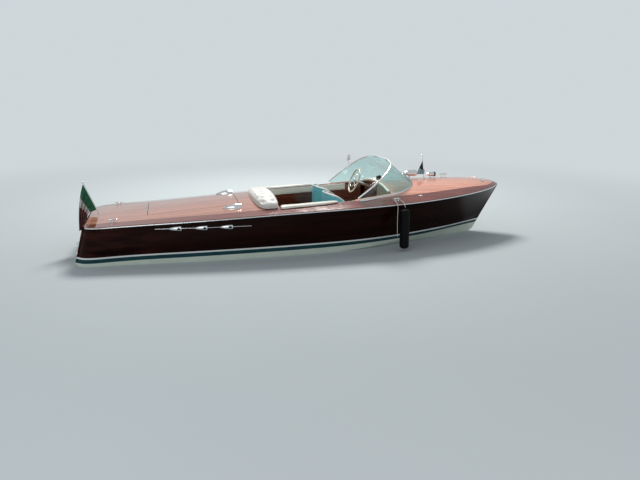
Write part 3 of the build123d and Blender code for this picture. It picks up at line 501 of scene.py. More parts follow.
# %% [markdown]
# Handling leaves soft smudges on every glossy surface, and spray dries to faint spots. The group
# gives both as masks, which the finishes turn into small changes of roughness.

# %% Smudge and spray group
handling, net, given, result = new_group("handling", {"Vector": None, "Scale": 1.0}, ("Smudge", "Spots"))
scaled = net.node("VectorMath", {0: given["Vector"], 3: given["Scale"]}, operation="SCALE").outputs[0]
net.feed(result["Smudge"], net.remap(net.noise(scaled, 4.0, 4.0, 0.6), 0.35, 0.75))
spots = net.cells(scaled, 90.0)
net.feed(result["Spots"], net.remap(spots, 0.10, 0.16, 1.0, 0.0))
print("smudges and spray", len(handling.nodes), "nodes")

# %% [markdown]
# The boot stripe is painted by height: a white line that rises towards bow and stern with the sheer,
# a dark blue-green band under it, and pale bottom paint below. The line's height is a cubic in the
# length along the boat, so the stripe runs fair across transom, planking, stem and keel alike.

# %% Boot stripe group
STRIPE_CURVE = (0.125, 0.042, -0.0125, 0.0013)
WHITE_WIDTH = 0.024
STRIPE_SOFTNESS = 0.0012

stripes, net, given, result = new_group("boot_stripes", {"Vector": None}, ("White", "Band", "Bottom"))
place = net.parts(given["Vector"])
rise = STRIPE_CURVE[3]
for term in reversed(STRIPE_CURVE[:3]):
    rise = net.plus(net.times(rise, place["X"]), term)
below = net.minus(rise, place["Z"])
band_foot = net.remap(place["X"], 3.5, 6.5, 0.082, 0.060)


def past(edge):
    """A mask of what lies further below the stripe's top line than an edge."""
    return net.remap(net.minus(below, edge), -STRIPE_SOFTNESS, STRIPE_SOFTNESS)


under_line = past(0.0)
under_white = past(WHITE_WIDTH)
under_band = past(band_foot)
net.feed(result["White"], net.minus(under_line, under_white))
net.feed(result["Band"], net.minus(under_white, under_band))
net.feed(result["Bottom"], under_band)
print("shared effects", [group.name for group in bpy.data.node_groups])

# %% [markdown]
# Varnish is a clear hard film over the wood. The Principled shader's coat stands for the film, and
# the wood below it keeps its own softer gloss. Each board finish has its own depth of colour: the
# topsides are dark mahogany made nearly black by painted shade, the covering boards deep red, and the
# decks a bleached salmon, painted paler as sunlit on the foredeck and darker as shaded on the aft deck.

# %% Varnished wood


def varnished(name, dark, light, across=None, plank=0.05, seam=0.003, seam_colour=(0, 0, 0),
              uneven=0.2, turn=(0, 0, 0), coat=1.0, gloss=0.10):
    """A varnished wood. across names the axis that the planks are counted along, if there are planks."""
    material, net, shader = new_material(name, Coat_Roughness=0.04)
    place = net.stretch(net.place(), (1, 1, 1), turn)
    wood = net.effect(grain, Vector=place, Length=1.0, Width=1.0)
    shade = net.remap(wood["Figure"], 0.30, 0.70)
    colour = net.blend(shade, dark, light)
    pores = net.times(wood["Pores"], 0.45)
    colour = net.blend(pores, colour, tuple(c * 0.45 for c in dark))
    height = net.times(wood["Figure"], 0.25)
    if across:
        strakes = net.effect(planks, Across=net.parts(place)[across], Plank_width=plank, Seam_width=seam)
        colour = net.tinted(colour, strakes["Tone"], 1 - uneven, 1 + uneven * 0.6)
        colour = net.blend(strakes["Seam"], colour, seam_colour)
        height = net.minus(height, net.times(strakes["Seam"], 0.8))
    touched = net.effect(handling, Vector=net.place(), Scale=1.0)
    net.feed(shader["Base Color"], colour)
    net.feed(shader["Roughness"], net.remap(touched["Smudge"], 0, 1, gloss, gloss + 0.12))
    net.feed(shader["Coat Weight"], net.remap(touched["Spots"], 0, 1, coat, coat * 0.75))
    net.feed(shader["Normal"], net.bump(height, 0.25, 0.0006))
    return material


ACROSS_THE_BOAT = (0, 0, math.pi / 2)

finish = {}
# The foredeck and the aft deck are one planking in a lit and a shaded copy: the foredeck's paler colours are
# painted sunlight, the aft deck's darker ones painted shade.
finish["foredeck"] = varnished("deck_mahogany_painted_sunlit", (0.68, 0.255, 0.165), (0.88, 0.40, 0.285), "Y", 0.052,
                               0.0028, (0.90, 0.68, 0.54), 0.16)
finish["aft_deck"] = varnished("deck_mahogany_painted_shade", (0.42, 0.150, 0.095), (0.62, 0.27, 0.185), "Y", 0.052,
                               0.0026, (0.70, 0.48, 0.36), 0.18)
finish["board"] = varnished("board_mahogany", (0.145, 0.029, 0.020), (0.255, 0.064, 0.046))
finish["joinery"] = varnished("joinery_mahogany", (0.085, 0.020, 0.010), (0.19, 0.050, 0.026),
                              turn=ACROSS_THE_BOAT)
finish["lining"] = varnished("lining_mahogany", (0.075, 0.018, 0.010), (0.17, 0.042, 0.022), "Z", 0.11,
                             0.0015, (0.02, 0.006, 0.004), 0.3)
finish["sole"] = varnished("sole_teak", (0.30, 0.16, 0.075), (0.44, 0.26, 0.13), "Y", 0.06, 0.005,
                           (0.03, 0.025, 0.02), 0.2, coat=0.2, gloss=0.35)
print("varnished woods", list(finish))

# %% [markdown]
# The hull's outside needs wood and paint in one finish, because the stripes cross several pieces.
# The masks of the stripe group choose the colour, and the paint is duller than the varnish.

# %% Hull planking with its boot stripes


def hull_finish(name, dark, light, turn=(0, 0, 0), bare_inside=1.0):
    """Stained wood above the boot stripe. bare_inside is 1 where the faces inside the hull are bare."""
    material, net, shader = new_material(name, Coat_Roughness=0.05, Specular_IOR_Level=0.04)
    place = net.place()
    wood = net.effect(grain, Vector=net.stretch(place, (1, 1, 1), turn), Length=1.6, Width=1.2)
    colour = net.blend(net.remap(wood["Figure"], 0.32, 0.70), dark, light)
    position = net.parts(place)
    fair = net.minus(position["Z"], net.times(position["X"], 0.034))
    strakes = net.effect(planks, Across=fair, Plank_width=0.118, Seam_width=0.0012)
    colour = net.tinted(colour, strakes["Tone"], 0.78, 1.22)
    colour = net.blend(net.times(strakes["Seam"], 0.7), colour, (0.004, 0.0015, 0.001))
    # Lighter, redder patches towards the stern are a painted highlight, for light on the rounded stern
    # quarter.
    stern_light_patches = net.remap(net.noise(net.stretch(place, (1.2, 1, 5)), 1.5, 4.0, 0.6), 0.45, 0.7)
    painted_stern_light = net.times(net.remap(position["X"], 2.2, 0.2), stern_light_patches)
    colour = net.blend(net.times(painted_stern_light, 0.6), colour, tuple(c * 3.4 for c in light))
    bands = net.effect(stripes, Vector=place)
    chalk = net.remap(net.noise(place, 3.5, 5.0, 0.65), 0.3, 0.75)
    slime = net.remap(position["Z"], 0.03, -0.03)
    bottom = net.blend(chalk, (0.62, 0.70, 0.60), (0.74, 0.80, 0.72))
    bottom = net.blend(net.times(slime, 0.35), bottom, (0.30, 0.38, 0.27))
    white = net.blend(chalk, (0.74, 0.78, 0.76), (0.84, 0.86, 0.84))
    band = net.blend(chalk, (0.012, 0.052, 0.062), (0.020, 0.072, 0.082))
    for mask, paint in (("White", white), ("Band", band), ("Bottom", bottom)):
        colour = net.blend(bands[mask], colour, paint)
    facing = net.parts(net.node("NewGeometry", {}).outputs["True Normal"])
    outward = net.times(facing["Y"], net.math("SIGN", position["Y"]))
    outward = net.minus(outward, net.times(facing["Z"], 0.6))
    inside = net.times(net.remap(outward, 0.05, -0.05), bare_inside)
    colour = net.blend(inside, colour, (0.060, 0.020, 0.012))
    paint_mask = net.math("MAXIMUM", bands["White"], net.math("MAXIMUM", bands["Band"], bands["Bottom"]))
    touched = net.effect(handling, Vector=place, Scale=0.7)
    gloss = net.remap(touched["Smudge"], 0, 1, 0.13, 0.24)
    dull = net.times(paint_mask, 0.22)
    net.feed(shader["Base Color"], colour)
    net.feed(shader["Roughness"], net.plus(gloss, dull))
    net.feed(shader["Coat Weight"], net.remap(paint_mask, 0, 1, 0.05, 0.08))
    relief = net.minus(net.times(wood["Figure"], 0.2), strakes["Seam"])
    net.feed(shader["Normal"], net.bump(relief, 0.2, 0.0005))
    return material


# The topsides' colours are mahogany darkened to near black by painted shade.
finish["topside"] = hull_finish("topside_mahogany_painted_shade", (0.0070, 0.0018, 0.0013), (0.0170, 0.0042, 0.0029))
finish["transom"] = hull_finish("transom_mahogany", (0.020, 0.005, 0.003), (0.050, 0.013, 0.008),
                                ACROSS_THE_BOAT, 0.0)
print("wood finishes", len(finish))

# %% [markdown]
# The bright fittings are chromed bronze, the propeller and rudder bare bronze. Metals need little
# colour work: what matters is a roughness that changes with handling, spray and, on bare bronze,
# tarnish.

# %% Metals


def metal(name, colour, worn, rough_low, rough_high):
    """A metal with worn patches, rougher where it was touched or sprayed."""
    material, net, shader = new_material(name, Metallic=1.0)
    touched = net.effect(handling, Vector=net.place(), Scale=6.0)
    patches = net.remap(net.noise(net.place(), 22.0, 4.0, 0.6), 0.45, 0.75)
    net.feed(shader["Base Color"], net.blend(net.times(patches, 0.6), colour, worn))
    rough = net.remap(touched["Smudge"], 0, 1, rough_low, rough_high)
    net.feed(shader["Roughness"], net.plus(rough, net.times(touched["Spots"], 0.12)))
    net.feed(shader["Normal"], net.bump(touched["Smudge"], 0.05, 0.0004))
    return material


finish["chrome"] = metal("chrome", (0.88, 0.89, 0.90), (0.78, 0.80, 0.82), 0.06, 0.18)
finish["hoop"] = metal("bright_tube", (0.97, 0.98, 0.99), (0.92, 0.94, 0.95), 0.24, 0.38)
finish["bronze"] = metal("bare_bronze", (0.62, 0.40, 0.17), (0.22, 0.24, 0.14), 0.24, 0.46)
print("finishes with metals", len(finish))

# %% [markdown]
# The engine's enamel, the fender's vinyl, the dials, the resin of the wheel's rim and the rope's
# fibre differ in colour and gloss alone, so one function makes them all.

# %% Paint, vinyl, resin and rope


def painted(name, colour, shade, rough, scale=30.0, relief=0.15, **shader_values):
    """Paint or moulded rubber: a slightly uneven colour with a fine orange-peel relief."""
    material, net, shader = new_material(name, **shader_values)
    uneven = net.remap(net.noise(net.place(), scale * 0.2, 4.0, 0.6), 0.3, 0.7)
    peel = net.noise(net.place(), scale * 12, 2.0)
    net.feed(shader["Base Color"], net.blend(uneven, colour, shade))
    net.feed(shader["Roughness"], net.remap(uneven, 0, 1, rough, rough + 0.15))
    net.feed(shader["Normal"], net.bump(peel, relief, 0.0005))
    return material


finish["engine"] = painted("engine_enamel", (0.10, 0.15, 0.17), (0.07, 0.10, 0.12), 0.35)
finish["rubber"] = painted("fender_vinyl", (0.0018, 0.0018, 0.0022), (0.0040, 0.0040, 0.0045), 0.45, 60.0,
                           Specular_IOR_Level=0.12)
# The same black is the compass's and the dials' own colour, and painted shade in the mouths of the vents and
# the horn.
finish["black"] = painted("black_enamel_and_mouth_shade", (0.012, 0.012, 0.013), (0.020, 0.020, 0.021), 0.25)
finish["red"] = painted("red_lens", (0.55, 0.02, 0.015), (0.40, 0.015, 0.01), 0.15, Coat_Weight=0.6)
finish["ivory"] = painted("ivory_resin", (0.72, 0.66, 0.50), (0.66, 0.60, 0.45), 0.22, Coat_Weight=0.5)
finish["rope"] = painted("white_rope", (0.78, 0.76, 0.70), (0.62, 0.60, 0.54), 0.75, 90.0, 0.4)
print("finishes with paints", len(finish))

# %% [markdown]
# The upholstery is coated cloth pressed with a leather grain: small rounded cells with creases
# between them. The same group gives the relief of the cream rolls and the turquoise seats.

# %% Upholstery
HIDE_CELL = 0.0024

hide, net, given, result = new_group("leather_grain", {"Vector": None, "Cell size": 0.002},
                                     ("Height", "Crease", "Wear"))
cell_scale = net.math("DIVIDE", 1.0, given["Cell size"])
pebbles = net.cells(given["Vector"], cell_scale)
wrinkles = net.noise(given["Vector"], 26.0, 5.0, 0.65)
net.feed(result["Height"], net.minus(net.times(wrinkles, 0.6), pebbles))
net.feed(result["Crease"], net.remap(pebbles, 0.45, 0.8))
net.feed(result["Wear"], net.remap(net.noise(given["Vector"], 5.0, 4.0, 0.6), 0.45, 0.75))


def upholstery(name, colour, worn, crease_shade):
    """Coated cloth with a pressed grain, paler or duller where it is worn, darker in its creases by painted
    shade.
    """
    material, net, shader = new_material(name, Specular_IOR_Level=0.4, Sheen_Weight=0.08)
    skin = net.effect(hide, Vector=net.place(), Cell_size=HIDE_CELL)
    base = net.blend(net.times(skin["Wear"], 0.5), colour, worn)
    net.feed(shader["Base Color"], net.blend(net.times(skin["Crease"], 0.4), base, crease_shade))
    net.feed(shader["Roughness"], net.remap(skin["Wear"], 0, 1, 0.42, 0.56))
    net.feed(shader["Normal"], net.bump(skin["Height"], 0.35, 0.0007))
    return material


# The last colour of each is the painted shade in its grain's creases.
finish["cream"] = upholstery("cream_vinyl", (0.80, 0.775, 0.69), (0.73, 0.70, 0.60), (0.55, 0.51, 0.42))
finish["white"] = upholstery("white_vinyl", (0.72, 0.71, 0.69), (0.66, 0.65, 0.62), (0.50, 0.48, 0.45))
finish["turquoise"] = upholstery("turquoise_vinyl", (0.13, 0.50, 0.57), (0.10, 0.42, 0.49),
                                 (0.05, 0.25, 0.30))
print("finishes with upholstery", len(finish))

# %% [markdown]
# The dash is varnished on the helm's side, where the gauges are, and padded in cream to starboard.

# %% Dash
DASH_SPLIT = -0.01
SPLIT_SOFTNESS = 0.0006

material, net, shader = new_material("dash_facing", Coat_Roughness=0.05)
place = net.place()
to_port = net.remap(net.parts(place)["Y"], DASH_SPLIT - SPLIT_SOFTNESS, DASH_SPLIT + SPLIT_SOFTNESS)
wood = net.effect(grain, Vector=net.stretch(place, (1, 1, 1), ACROSS_THE_BOAT), Length=1.0, Width=1.0)
skin = net.effect(hide, Vector=place, Cell_size=HIDE_CELL)
timber = net.blend(net.remap(wood["Figure"], 0.3, 0.7), (0.11, 0.030, 0.014), (0.26, 0.085, 0.040))
padding = net.blend(net.times(skin["Wear"], 0.5), (0.46, 0.38, 0.27), (0.38, 0.31, 0.21))
net.feed(shader["Base Color"], net.blend(to_port, padding, timber))
net.feed(shader["Roughness"], net.remap(to_port, 0, 1, 0.5, 0.16))
net.feed(shader["Coat Weight"], net.times(to_port, 0.8))
relief = net.times(skin["Height"], net.minus(1.0, to_port))
net.feed(shader["Normal"], net.bump(relief, 0.3, 0.0006))
finish["dash"] = material
print("dash split at", DASH_SPLIT, "m")

# %% [markdown]
# The windshield is green-tinted safety glass. Its material stays the plain glass of the Principled
# shader, so that it exports, with a trace of dried spray in the roughness.

# %% Glass
material, net, shader = new_material("windshield_glass", Transmission_Weight=1.0, IOR=1.45)
touched = net.effect(handling, Vector=net.place(), Scale=3.0)
haze = net.times(touched["Smudge"], 0.03)
net.feed(shader["Roughness"], net.plus(haze, net.times(touched["Spots"], 0.08)))
net.feed(shader["Base Color"], net.blend(touched["Smudge"], (0.66, 0.86, 0.84), (0.70, 0.88, 0.86)))
finish["glass"] = material
print("glass nodes", len(material.node_tree.nodes))

# %% [markdown]
# The pale floor is a plain matt colour with a very slight unevenness, so that the shadow stays clean.
# Far from the boat it turns into the backdrop's own colour, so that no horizon line shows.

# %% Floor material
FLOOR_FADE = (3.8, 13.0)

material, net, shader = new_material("floor_paint", Roughness=0.9, Specular_IOR_Level=0.0)
from_boat = net.node("VectorMath", {0: net.place(), 1: tuple(FLOOR_CENTRE)}, operation="DISTANCE")
share = net.remap(from_boat.outputs["Value"], *FLOOR_FADE)
slope = net.minus(3.0, net.times(share, 2.0))
far = net.times(net.times(share, share), slope)
looks = net.node("LightPath", {}).outputs
through = net.math("MAXIMUM", looks["Is Glossy Ray"], looks["Is Transmission Ray"])
looked_at = net.math("MAXIMUM", looks["Is Camera Ray"], through)
uneven = net.noise(net.place(), 0.35, 2.0)
near_colour = net.blend(uneven, (0.44, 0.485, 0.505), (0.47, 0.515, 0.535))
net.feed(shader["Base Color"], net.blend(far, near_colour, (0.0, 0.0, 0.0)))
net.feed(shader["Emission Color"], BACKDROP)
net.feed(shader["Emission Strength"], net.times(far, looked_at))
floor.data.materials.append(material)
print("floor fades from", FLOOR_FADE[0], "to", FLOOR_FADE[1], "m")

# %% [markdown]
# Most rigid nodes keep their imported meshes, which are already smooth, and only take a finish. The
# table below says which, so that the whole boat's finishes can be read in one place.

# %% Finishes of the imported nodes
NODE_FINISHES = {
    "topside": ("topside_port", "topside_starboard", "bottom_port", "bottom_starboard", "keel", "stem"),
    "transom": ("transom",),
    "foredeck": ("foredeck",),
    "aft_deck": ("aft_deck", "engine_hatch"),
    "board": ("covering_board_port", "covering_board_starboard"),
    "joinery": ("bulkheads", "seat_bases"),
    "dash": ("dash",),
    "lining": ("side_linings",),
    "sole": ("sole",),
    "chrome": ("stem_band", "rub_rails", "windshield_base", "steering_column", "instruments", "deck_cap",
               "searchlight", "horn", "bow_cleat", "midship_cleats", "stern_cleats", "bow_chocks",
               "deck_scoops", "side_vents", "mirror", "stern_eyes", "exhausts", "hatch_hinges",
               "flagstaff", "burgee_staff"),
    "hoop": ("windshield_frame",),
    "bronze": ("propeller", "propeller_shaft", "rudder", "stern_gear"),
    "engine": ("engine",),
    "rubber": ("fender",),
    "black": ("compass",),
    "glass": ("windshield_glass",),
}
for look, names in NODE_FINISHES.items():
    for name in names:
        for material_slot in nodes[name].material_slots:
            material_slot.material = finish[look]
fender_rope.data.materials.append(finish["rope"])
print("nodes finished", sum(len(names) for names in NODE_FINISHES.values()))

# %% [markdown]
# Upholstery is made as it is in life: a slightly small cover that its filling pushes out. The packed
# solid of a cushion is remeshed into small even faces, which cloth needs. Points are read and written
# as whole arrays, and a finished modifier is baked into the mesh, because the export and the pose
# tests want plain meshes.

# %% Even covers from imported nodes


def read_points(mesh, what="co"):
    """The places, or another vector, of all a mesh's points as an array."""
    flat = np.empty(len(mesh.vertices) * 3, np.float32)
    mesh.vertices.foreach_get(what, flat)
    return flat.reshape(-1, 3)


def write_points(mesh, points):
    """Moves all a mesh's points to the places in an array."""
    mesh.vertices.foreach_set("co", points.astype(np.float32).ravel())
    mesh.update()


def bake(obj):
    """Gives an object the mesh that its modifiers make, and takes the modifiers off."""
    mesh = bpy.data.meshes.new_from_object(obj.evaluated_get(bpy.context.evaluated_depsgraph_get()))
    obj.modifiers.clear()
    spent, obj.data = obj.data, mesh
    bpy.data.meshes.remove(spent)


def even_copy(name, node, voxel, fairing=5):
    """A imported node's shape in small even faces, from a copy with its loose triangles merged."""
    shape = bmesh.new()
    shape.from_mesh(nodes[node].data)
    obj = build(name, shape)
    obj.data.materials.clear()
    skin = obj.modifiers.new("even_faces", "REMESH")
    skin.mode = "VOXEL"
    skin.voxel_size = voxel
    fair = obj.modifiers.new("fair", "SMOOTH")
    fair.iterations = fairing
    bake(obj)
    return obj


# %% [markdown]
# The cover is drawn in a little, then Blender's cloth is blown up inside for twenty frames. A cap
# keeps every point near where it began, and faces that look down stay flat, because they lie on a
# seat or a deck.

# %% Stuffing a cover
STUFFING_FRAMES = 20
STUFFING_PRESSURE = 4.0
FACING_DOWN = -0.6
DOWN_SHARE = 0.1


def dress(obj, look, body="hull"):
    """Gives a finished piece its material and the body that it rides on."""
    obj.data.materials.append(finish[look])
    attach(obj, body)
    return obj


def blow_up(obj):
    """Runs the cloth simulation of a cover with air inside, and keeps its last shape."""
    cloth = obj.modifiers.new("stuffing", "CLOTH")
    cloth.settings.use_pressure = True
    cloth.settings.uniform_pressure_force = STUFFING_PRESSURE
    cloth.settings.effector_weights.gravity = 0
    cloth.point_cache.frame_end = STUFFING_FRAMES
    for moment in range(1, STUFFING_FRAMES + 1):
        bpy.context.scene.frame_set(moment)
    bake(obj)
    bpy.context.scene.frame_set(1)


def stuffed(obj, node, look, shrink, cap):
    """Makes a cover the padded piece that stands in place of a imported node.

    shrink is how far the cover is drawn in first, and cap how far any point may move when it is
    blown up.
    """
    normals = read_points(obj.data, "normal")
    start = read_points(obj.data) - normals * shrink
    write_points(obj.data, start)
    blow_up(obj)
    moved = read_points(obj.data) - start
    lengths = np.linalg.norm(moved, axis=1)
    moved *= np.minimum(1.0, cap / np.maximum(lengths, 1e-9))[:, None]
    moved[normals[:, 2] < FACING_DOWN] *= DOWN_SHARE
    write_points(obj.data, start + moved)
    obj.data.shade_smooth()
    dress(obj, look)
    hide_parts(node)
    most = round(float(lengths.max()) * 1000, 1)
    print(obj.name, len(obj.data.vertices), "points, moved at most", most, "mm")
    return obj


# %% [markdown]
# Seams, tufts and piping come after the stuffing, because remeshing would erase them. Each is a
# press on the finished cover: points near a place are drawn in along their normals. Piping and
# buttons are then laid on the cover as it has become, so that none of them sinks into it.

# %% Seams, tufts and piping


def press(obj, places, reach, depth, upward_only=False):
    """Draws the cover in near some points: a tuft where there is one, a sewn line where they are many."""
    tree = KDTree(len(places))
    for i, place in enumerate(places):
        tree.insert(Vector(place), i)
    tree.balance()
    points = read_points(obj.data)
    normals = read_points(obj.data, "normal")
    gaps = np.array([tree.find(Vector(p))[2] for p in points])
    pull = depth * np.exp(-(gaps / reach) ** 2)
    if upward_only:
        pull *= np.clip(normals[:, 2] * 2, 0, 1)
    write_points(obj.data, points - normals * pull[:, None])


def soften(obj):
    """One live level of subdivision, so that the outline stays round close to."""
    rounder = obj.modifiers.new("rounder", "SUBSURF")
    rounder.levels = rounder.render_levels = 1


def top_of(tree, x, y):
    """The highest point of a tree's faces over a place in plan."""
    return struck(tree, (x, y, 3), (0, 0, -1))[0]


def cover_tree(obj):
    """A search tree over a cover as it is now, with its seams and tufts."""
    return BVHTree.FromPolygons([v.co for v in obj.data.vertices], [p.vertices for p in obj.data.polygons])


def piping(name, routes, radius, look):
    """Round cords along one or more lines, as one piece in the covers' own slot."""
    dress(skinned(name, [tube_rings(route, radius, 8) for route in routes], 60), look)


# %% [markdown]
# A long white cushion lies across the deck behind the cockpit. Its starboard half is full and tufted,
# its port half a flatter pad, and a sewn seam parts the two.

# %% Rear deck cushion
SEAM_Y = 0.03
SEAM_FROM, SEAM_STEP, SEAM_POINTS = 2.50, 0.005, 68
TUFTS = [(x, y) for y in (-0.76, -0.60, -0.44, -0.28, -0.12) for x in (2.60, 2.745)]
LUMP_PITCH, LUMP_HEIGHT = 11.0, 0.010
LUMPS_END_Y = 0.3
BUTTON_RADIUS = 0.0105
BUTTON_SUNK = Vector((0, 0, -0.003))
BUTTON_PROUD = Vector((0, 0, 0.005))

deck_cushion = stuffed(even_copy("deck_cushion", "rear_deck_cushion", voxel=0.009), "rear_deck_cushion",
                       "white", shrink=0.006, cap=0.012)
cover = tree_of("rear_deck_cushion")
tuft_places = [top_of(cover, x, y) for x, y in TUFTS]
press(deck_cushion, tuft_places, reach=0.040, depth=0.022, upward_only=True)
press(deck_cushion, tuft_places, reach=0.009, depth=0.006, upward_only=True)
seam = [top_of(cover, SEAM_FROM + SEAM_STEP * i, SEAM_Y) for i in range(SEAM_POINTS)]
press(deck_cushion, [p for p in seam if p], reach=0.012, depth=0.010, upward_only=True)
points = read_points(deck_cushion.data)
normals = read_points(deck_cushion.data, "normal")
lumps = np.array([noise.noise(Vector(p) * LUMP_PITCH) for p in points])
lumps = lumps * np.clip(LUMPS_END_Y - points[:, 1], 0, 1)
raised = lumps * LUMP_HEIGHT * np.clip(normals[:, 2], 0, 1)
write_points(deck_cushion.data, points + normals * raised[:, None])
soften(deck_cushion)
sewn = cover_tree(deck_cushion)
sunk = [top_of(sewn, x, y) for x, y in TUFTS]
piping("cushion_buttons", [[p + BUTTON_SUNK, p + BUTTON_PROUD] for p in sunk], BUTTON_RADIUS, "white")
print("tufts", len(TUFTS))

# %% [markdown]
# The cockpit's edge is dressed with cream rolls that end in a soft point beside the front seats. The
# packed rolls run out in wedges too thin for an even remesh, so the cover is built as rings of a
# rounded section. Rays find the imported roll's edges and crown at each ring.

# %% Covers of the coaming rolls
ROLL_STATIONS = ((2.835, 0.857, 0.056), (3.000, 0.858, 0.057), (3.160, 0.858, 0.056), (3.320, 0.857, 0.055),
                 (3.460, 0.855, 0.052), (3.570, 0.850, 0.046), (3.640, 0.845, 0.037), (3.689, 0.840, 0.024))
ROLL_RINGS = 121
ROLL_SIDES = 24
ROLL_END = 0.022
END_FULLNESS = 0.45
EDGE_INSET = 0.003
UNDERSIDE = 0.003
SQUARENESS = 0.8
rolled = tree_of("coaming_rolls")


def roll_ring(side, x, middle, half, full):
    """One ring of a roll's section. full is 1 along the roll and less where its end is rounded."""
    inner = top_of(rolled, x, side * (middle - half + EDGE_INSET))
    outer = top_of(rolled, x, side * (middle + half - EDGE_INSET))
    crown = top_of(rolled, x, side * middle)
    height = (crown.z - (inner.z + outer.z) / 2) * full
    ring = []
    for turn in turns_round(ROLL_SIDES):
        across, up = math.cos(turn), math.sin(turn)
        foot = inner.z + (outer.z - inner.z) * (across + 1) / 2
        rise = math.copysign(abs(up) ** SQUARENESS, up) * (height if up > 0 else UNDERSIDE)
        ring.append(Vector((x, side * (middle + half * full * across), foot + rise)))
    return ring


def roll_cover(name):
    """Both rolls as rings of a soft section, rounded at both ends."""
    xs, middles, halves = np.array(ROLL_STATIONS).T
    skins = []
    for side in (1, -1):
        rings = []
        for share in np.linspace(0, 1, ROLL_RINGS):
            x = xs[0] + (xs[-1] - xs[0]) * share
            from_end = min(x - xs[0], xs[-1] - x) / ROLL_END
            bow = math.sqrt(1 - (1 - min(from_end, 1.0)) ** 2)
            full = END_FULLNESS + (1 - END_FULLNESS) * bow
            rings.append(roll_ring(side, x, np.interp(x, xs, middles), np.interp(x, xs, halves), full))
        skins.append(rings)
    return skinned(name, skins, 180)


rolls = stuffed(roll_cover("coaming_rolls_soft"), "coaming_rolls", "cream",
                shrink=0.002, cap=0.005)

# %% [markdown]
# A seam runs along the middle of each roll under a thin cord of piping. Deeper pads line the
# cockpit's sides under the rolls, and a slim roll edges the dash.

# %% Roll piping, side pads and dash roll
ROLL_MIDDLE = ((2.85, 0.857), (3.16, 0.858), (3.46, 0.855), (3.60, 0.848), (3.67, 0.842))
ROLL_CORD_RADIUS = 0.0034
CORD_LIFT = Vector((0, 0, 0.001))

roll_seams = []
for side in (1, -1):
    line = nurbs_points("roll_seam", [(x, side * y, 0.8) for x, y in ROLL_MIDDLE], 40)
    roll_seams.append([top_of(rolled, p.x, p.y) for p in line if top_of(rolled, p.x, p.y)])
press(rolls, [p for line in roll_seams for p in line], reach=0.008, depth=0.005)
soften(rolls)
sewn = cover_tree(rolls)
piping("roll_piping", [[top_of(sewn, p.x, p.y) + CORD_LIFT for p in line] for line in roll_seams],
       ROLL_CORD_RADIUS, "cream")

side_pads = stuffed(even_copy("side_pads_soft", "coaming_pads", voxel=0.008, fairing=12), "coaming_pads",
                    "cream", shrink=0.003, cap=0.006)
soften(side_pads)
stuffed(even_copy("dash_roll_soft", "dash_roll", voxel=0.006), "dash_roll", "cream",
        shrink=0.002, cap=0.003)

# %% [markdown]
# The two front seats are tubs: a half round padded wall about each cushion, edged with thick white
# piping inside and out. The piping's line is worked out from the tub's own circles and slope. Towards
# the front the arms' tops are rounded down, and cover and piping share the same rule for it.

# %% Rims of the tub seats
TUB_X, TUB_Y = 3.925, 0.340
TUB_OUTER, TUB_INNER, TUB_END = 0.340, 0.255, -0.060
TUB_BACK_TOP, TUB_END_TOP = 0.832, 0.770
CUSHION_TOP = 0.430
ARM_ROUNDED_FROM = -0.215
ARM_DROP, ARM_ROUNDNESS = 0.135, 0.999
PIPING_FOOT = 0.335
PIPING_INSET = 0.010
RIM_STEPS, CORNER_STEPS = 48, 12
PIPING_SUNK = Vector((0, 0, 0.004))
TUB_CORD_RADIUS = 0.0095


def arm_drop(x):
    """How far the arm's top is rounded down at a length along the tub."""
    share = np.clip((x - ARM_ROUNDED_FROM) / (TUB_END - ARM_ROUNDED_FROM), 0, 1)
    return ARM_DROP * (1 - np.sqrt(1 - ARM_ROUNDNESS * share ** 2))


def tub_rim(side, radius):
    """The line along a tub's top edge at a radius, down both front corners to the cushion."""
    fall = (TUB_BACK_TOP - TUB_END_TOP) / (TUB_OUTER + TUB_END)
    reach = math.acos(-TUB_END / radius)
    line = []
    for i in range(2 * RIM_STEPS + 1):
        turn = reach * math.sin(math.pi / 2 * (i / RIM_STEPS - 1))
        x = -radius * math.cos(turn)
        line.append(Vector((TUB_X + x, side * TUB_Y + radius * math.sin(turn),
                            TUB_BACK_TOP - fall * (x + TUB_OUTER) - arm_drop(x))))
    corners = []
    for end in (line[0], line[-1]):
        drop = (end.z - PIPING_FOOT) / CORNER_STEPS
        corners.append([Vector((end.x, end.y, end.z - drop * i)) for i in range(1, CORNER_STEPS + 1)])
    return list(reversed(corners[0])) + line + corners[1]


rims = [tub_rim(side, radius) for side in (1, -1)
        for radius in (TUB_OUTER - PIPING_INSET, TUB_INNER + PIPING_INSET)]
print("rims", len(rims), "of", len(rims[0]), "points")

# %% [markdown]
# The tubs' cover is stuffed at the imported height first. Then its points are let down by the arms'
# rule, in full at the rim and not at all at the cushion, so that the wall's foot stays where it is.

# %% Tub seats
tubs = stuffed(even_copy("front_tubs_soft", "front_seat_back", voxel=0.0107), "front_seat_back",
               "turquoise", shrink=0.005, cap=0.009)
points = read_points(tubs.data)
lowered = np.clip((points[:, 2] - CUSHION_TOP) / (TUB_END_TOP - CUSHION_TOP), 0, 1)
points[:, 2] -= arm_drop(points[:, 0] - TUB_X) * lowered
write_points(tubs.data, points)
press(tubs, [p for line in rims for p in line], reach=0.010, depth=0.004)
soften(tubs)
piping("tub_piping", [[p - PIPING_SUNK for p in line] for line in rims], TUB_CORD_RADIUS, "white")
print("arms rounded down by up to", ARM_DROP, "m")

# %% [markdown]
# The seat cushions have shallow sewn pleats from back to front, and the bench's back has upright
# channels. Both are rows of presses on the finished covers. One node holds the tubs' cushions and the
# bench's, so the pleats are listed for both.

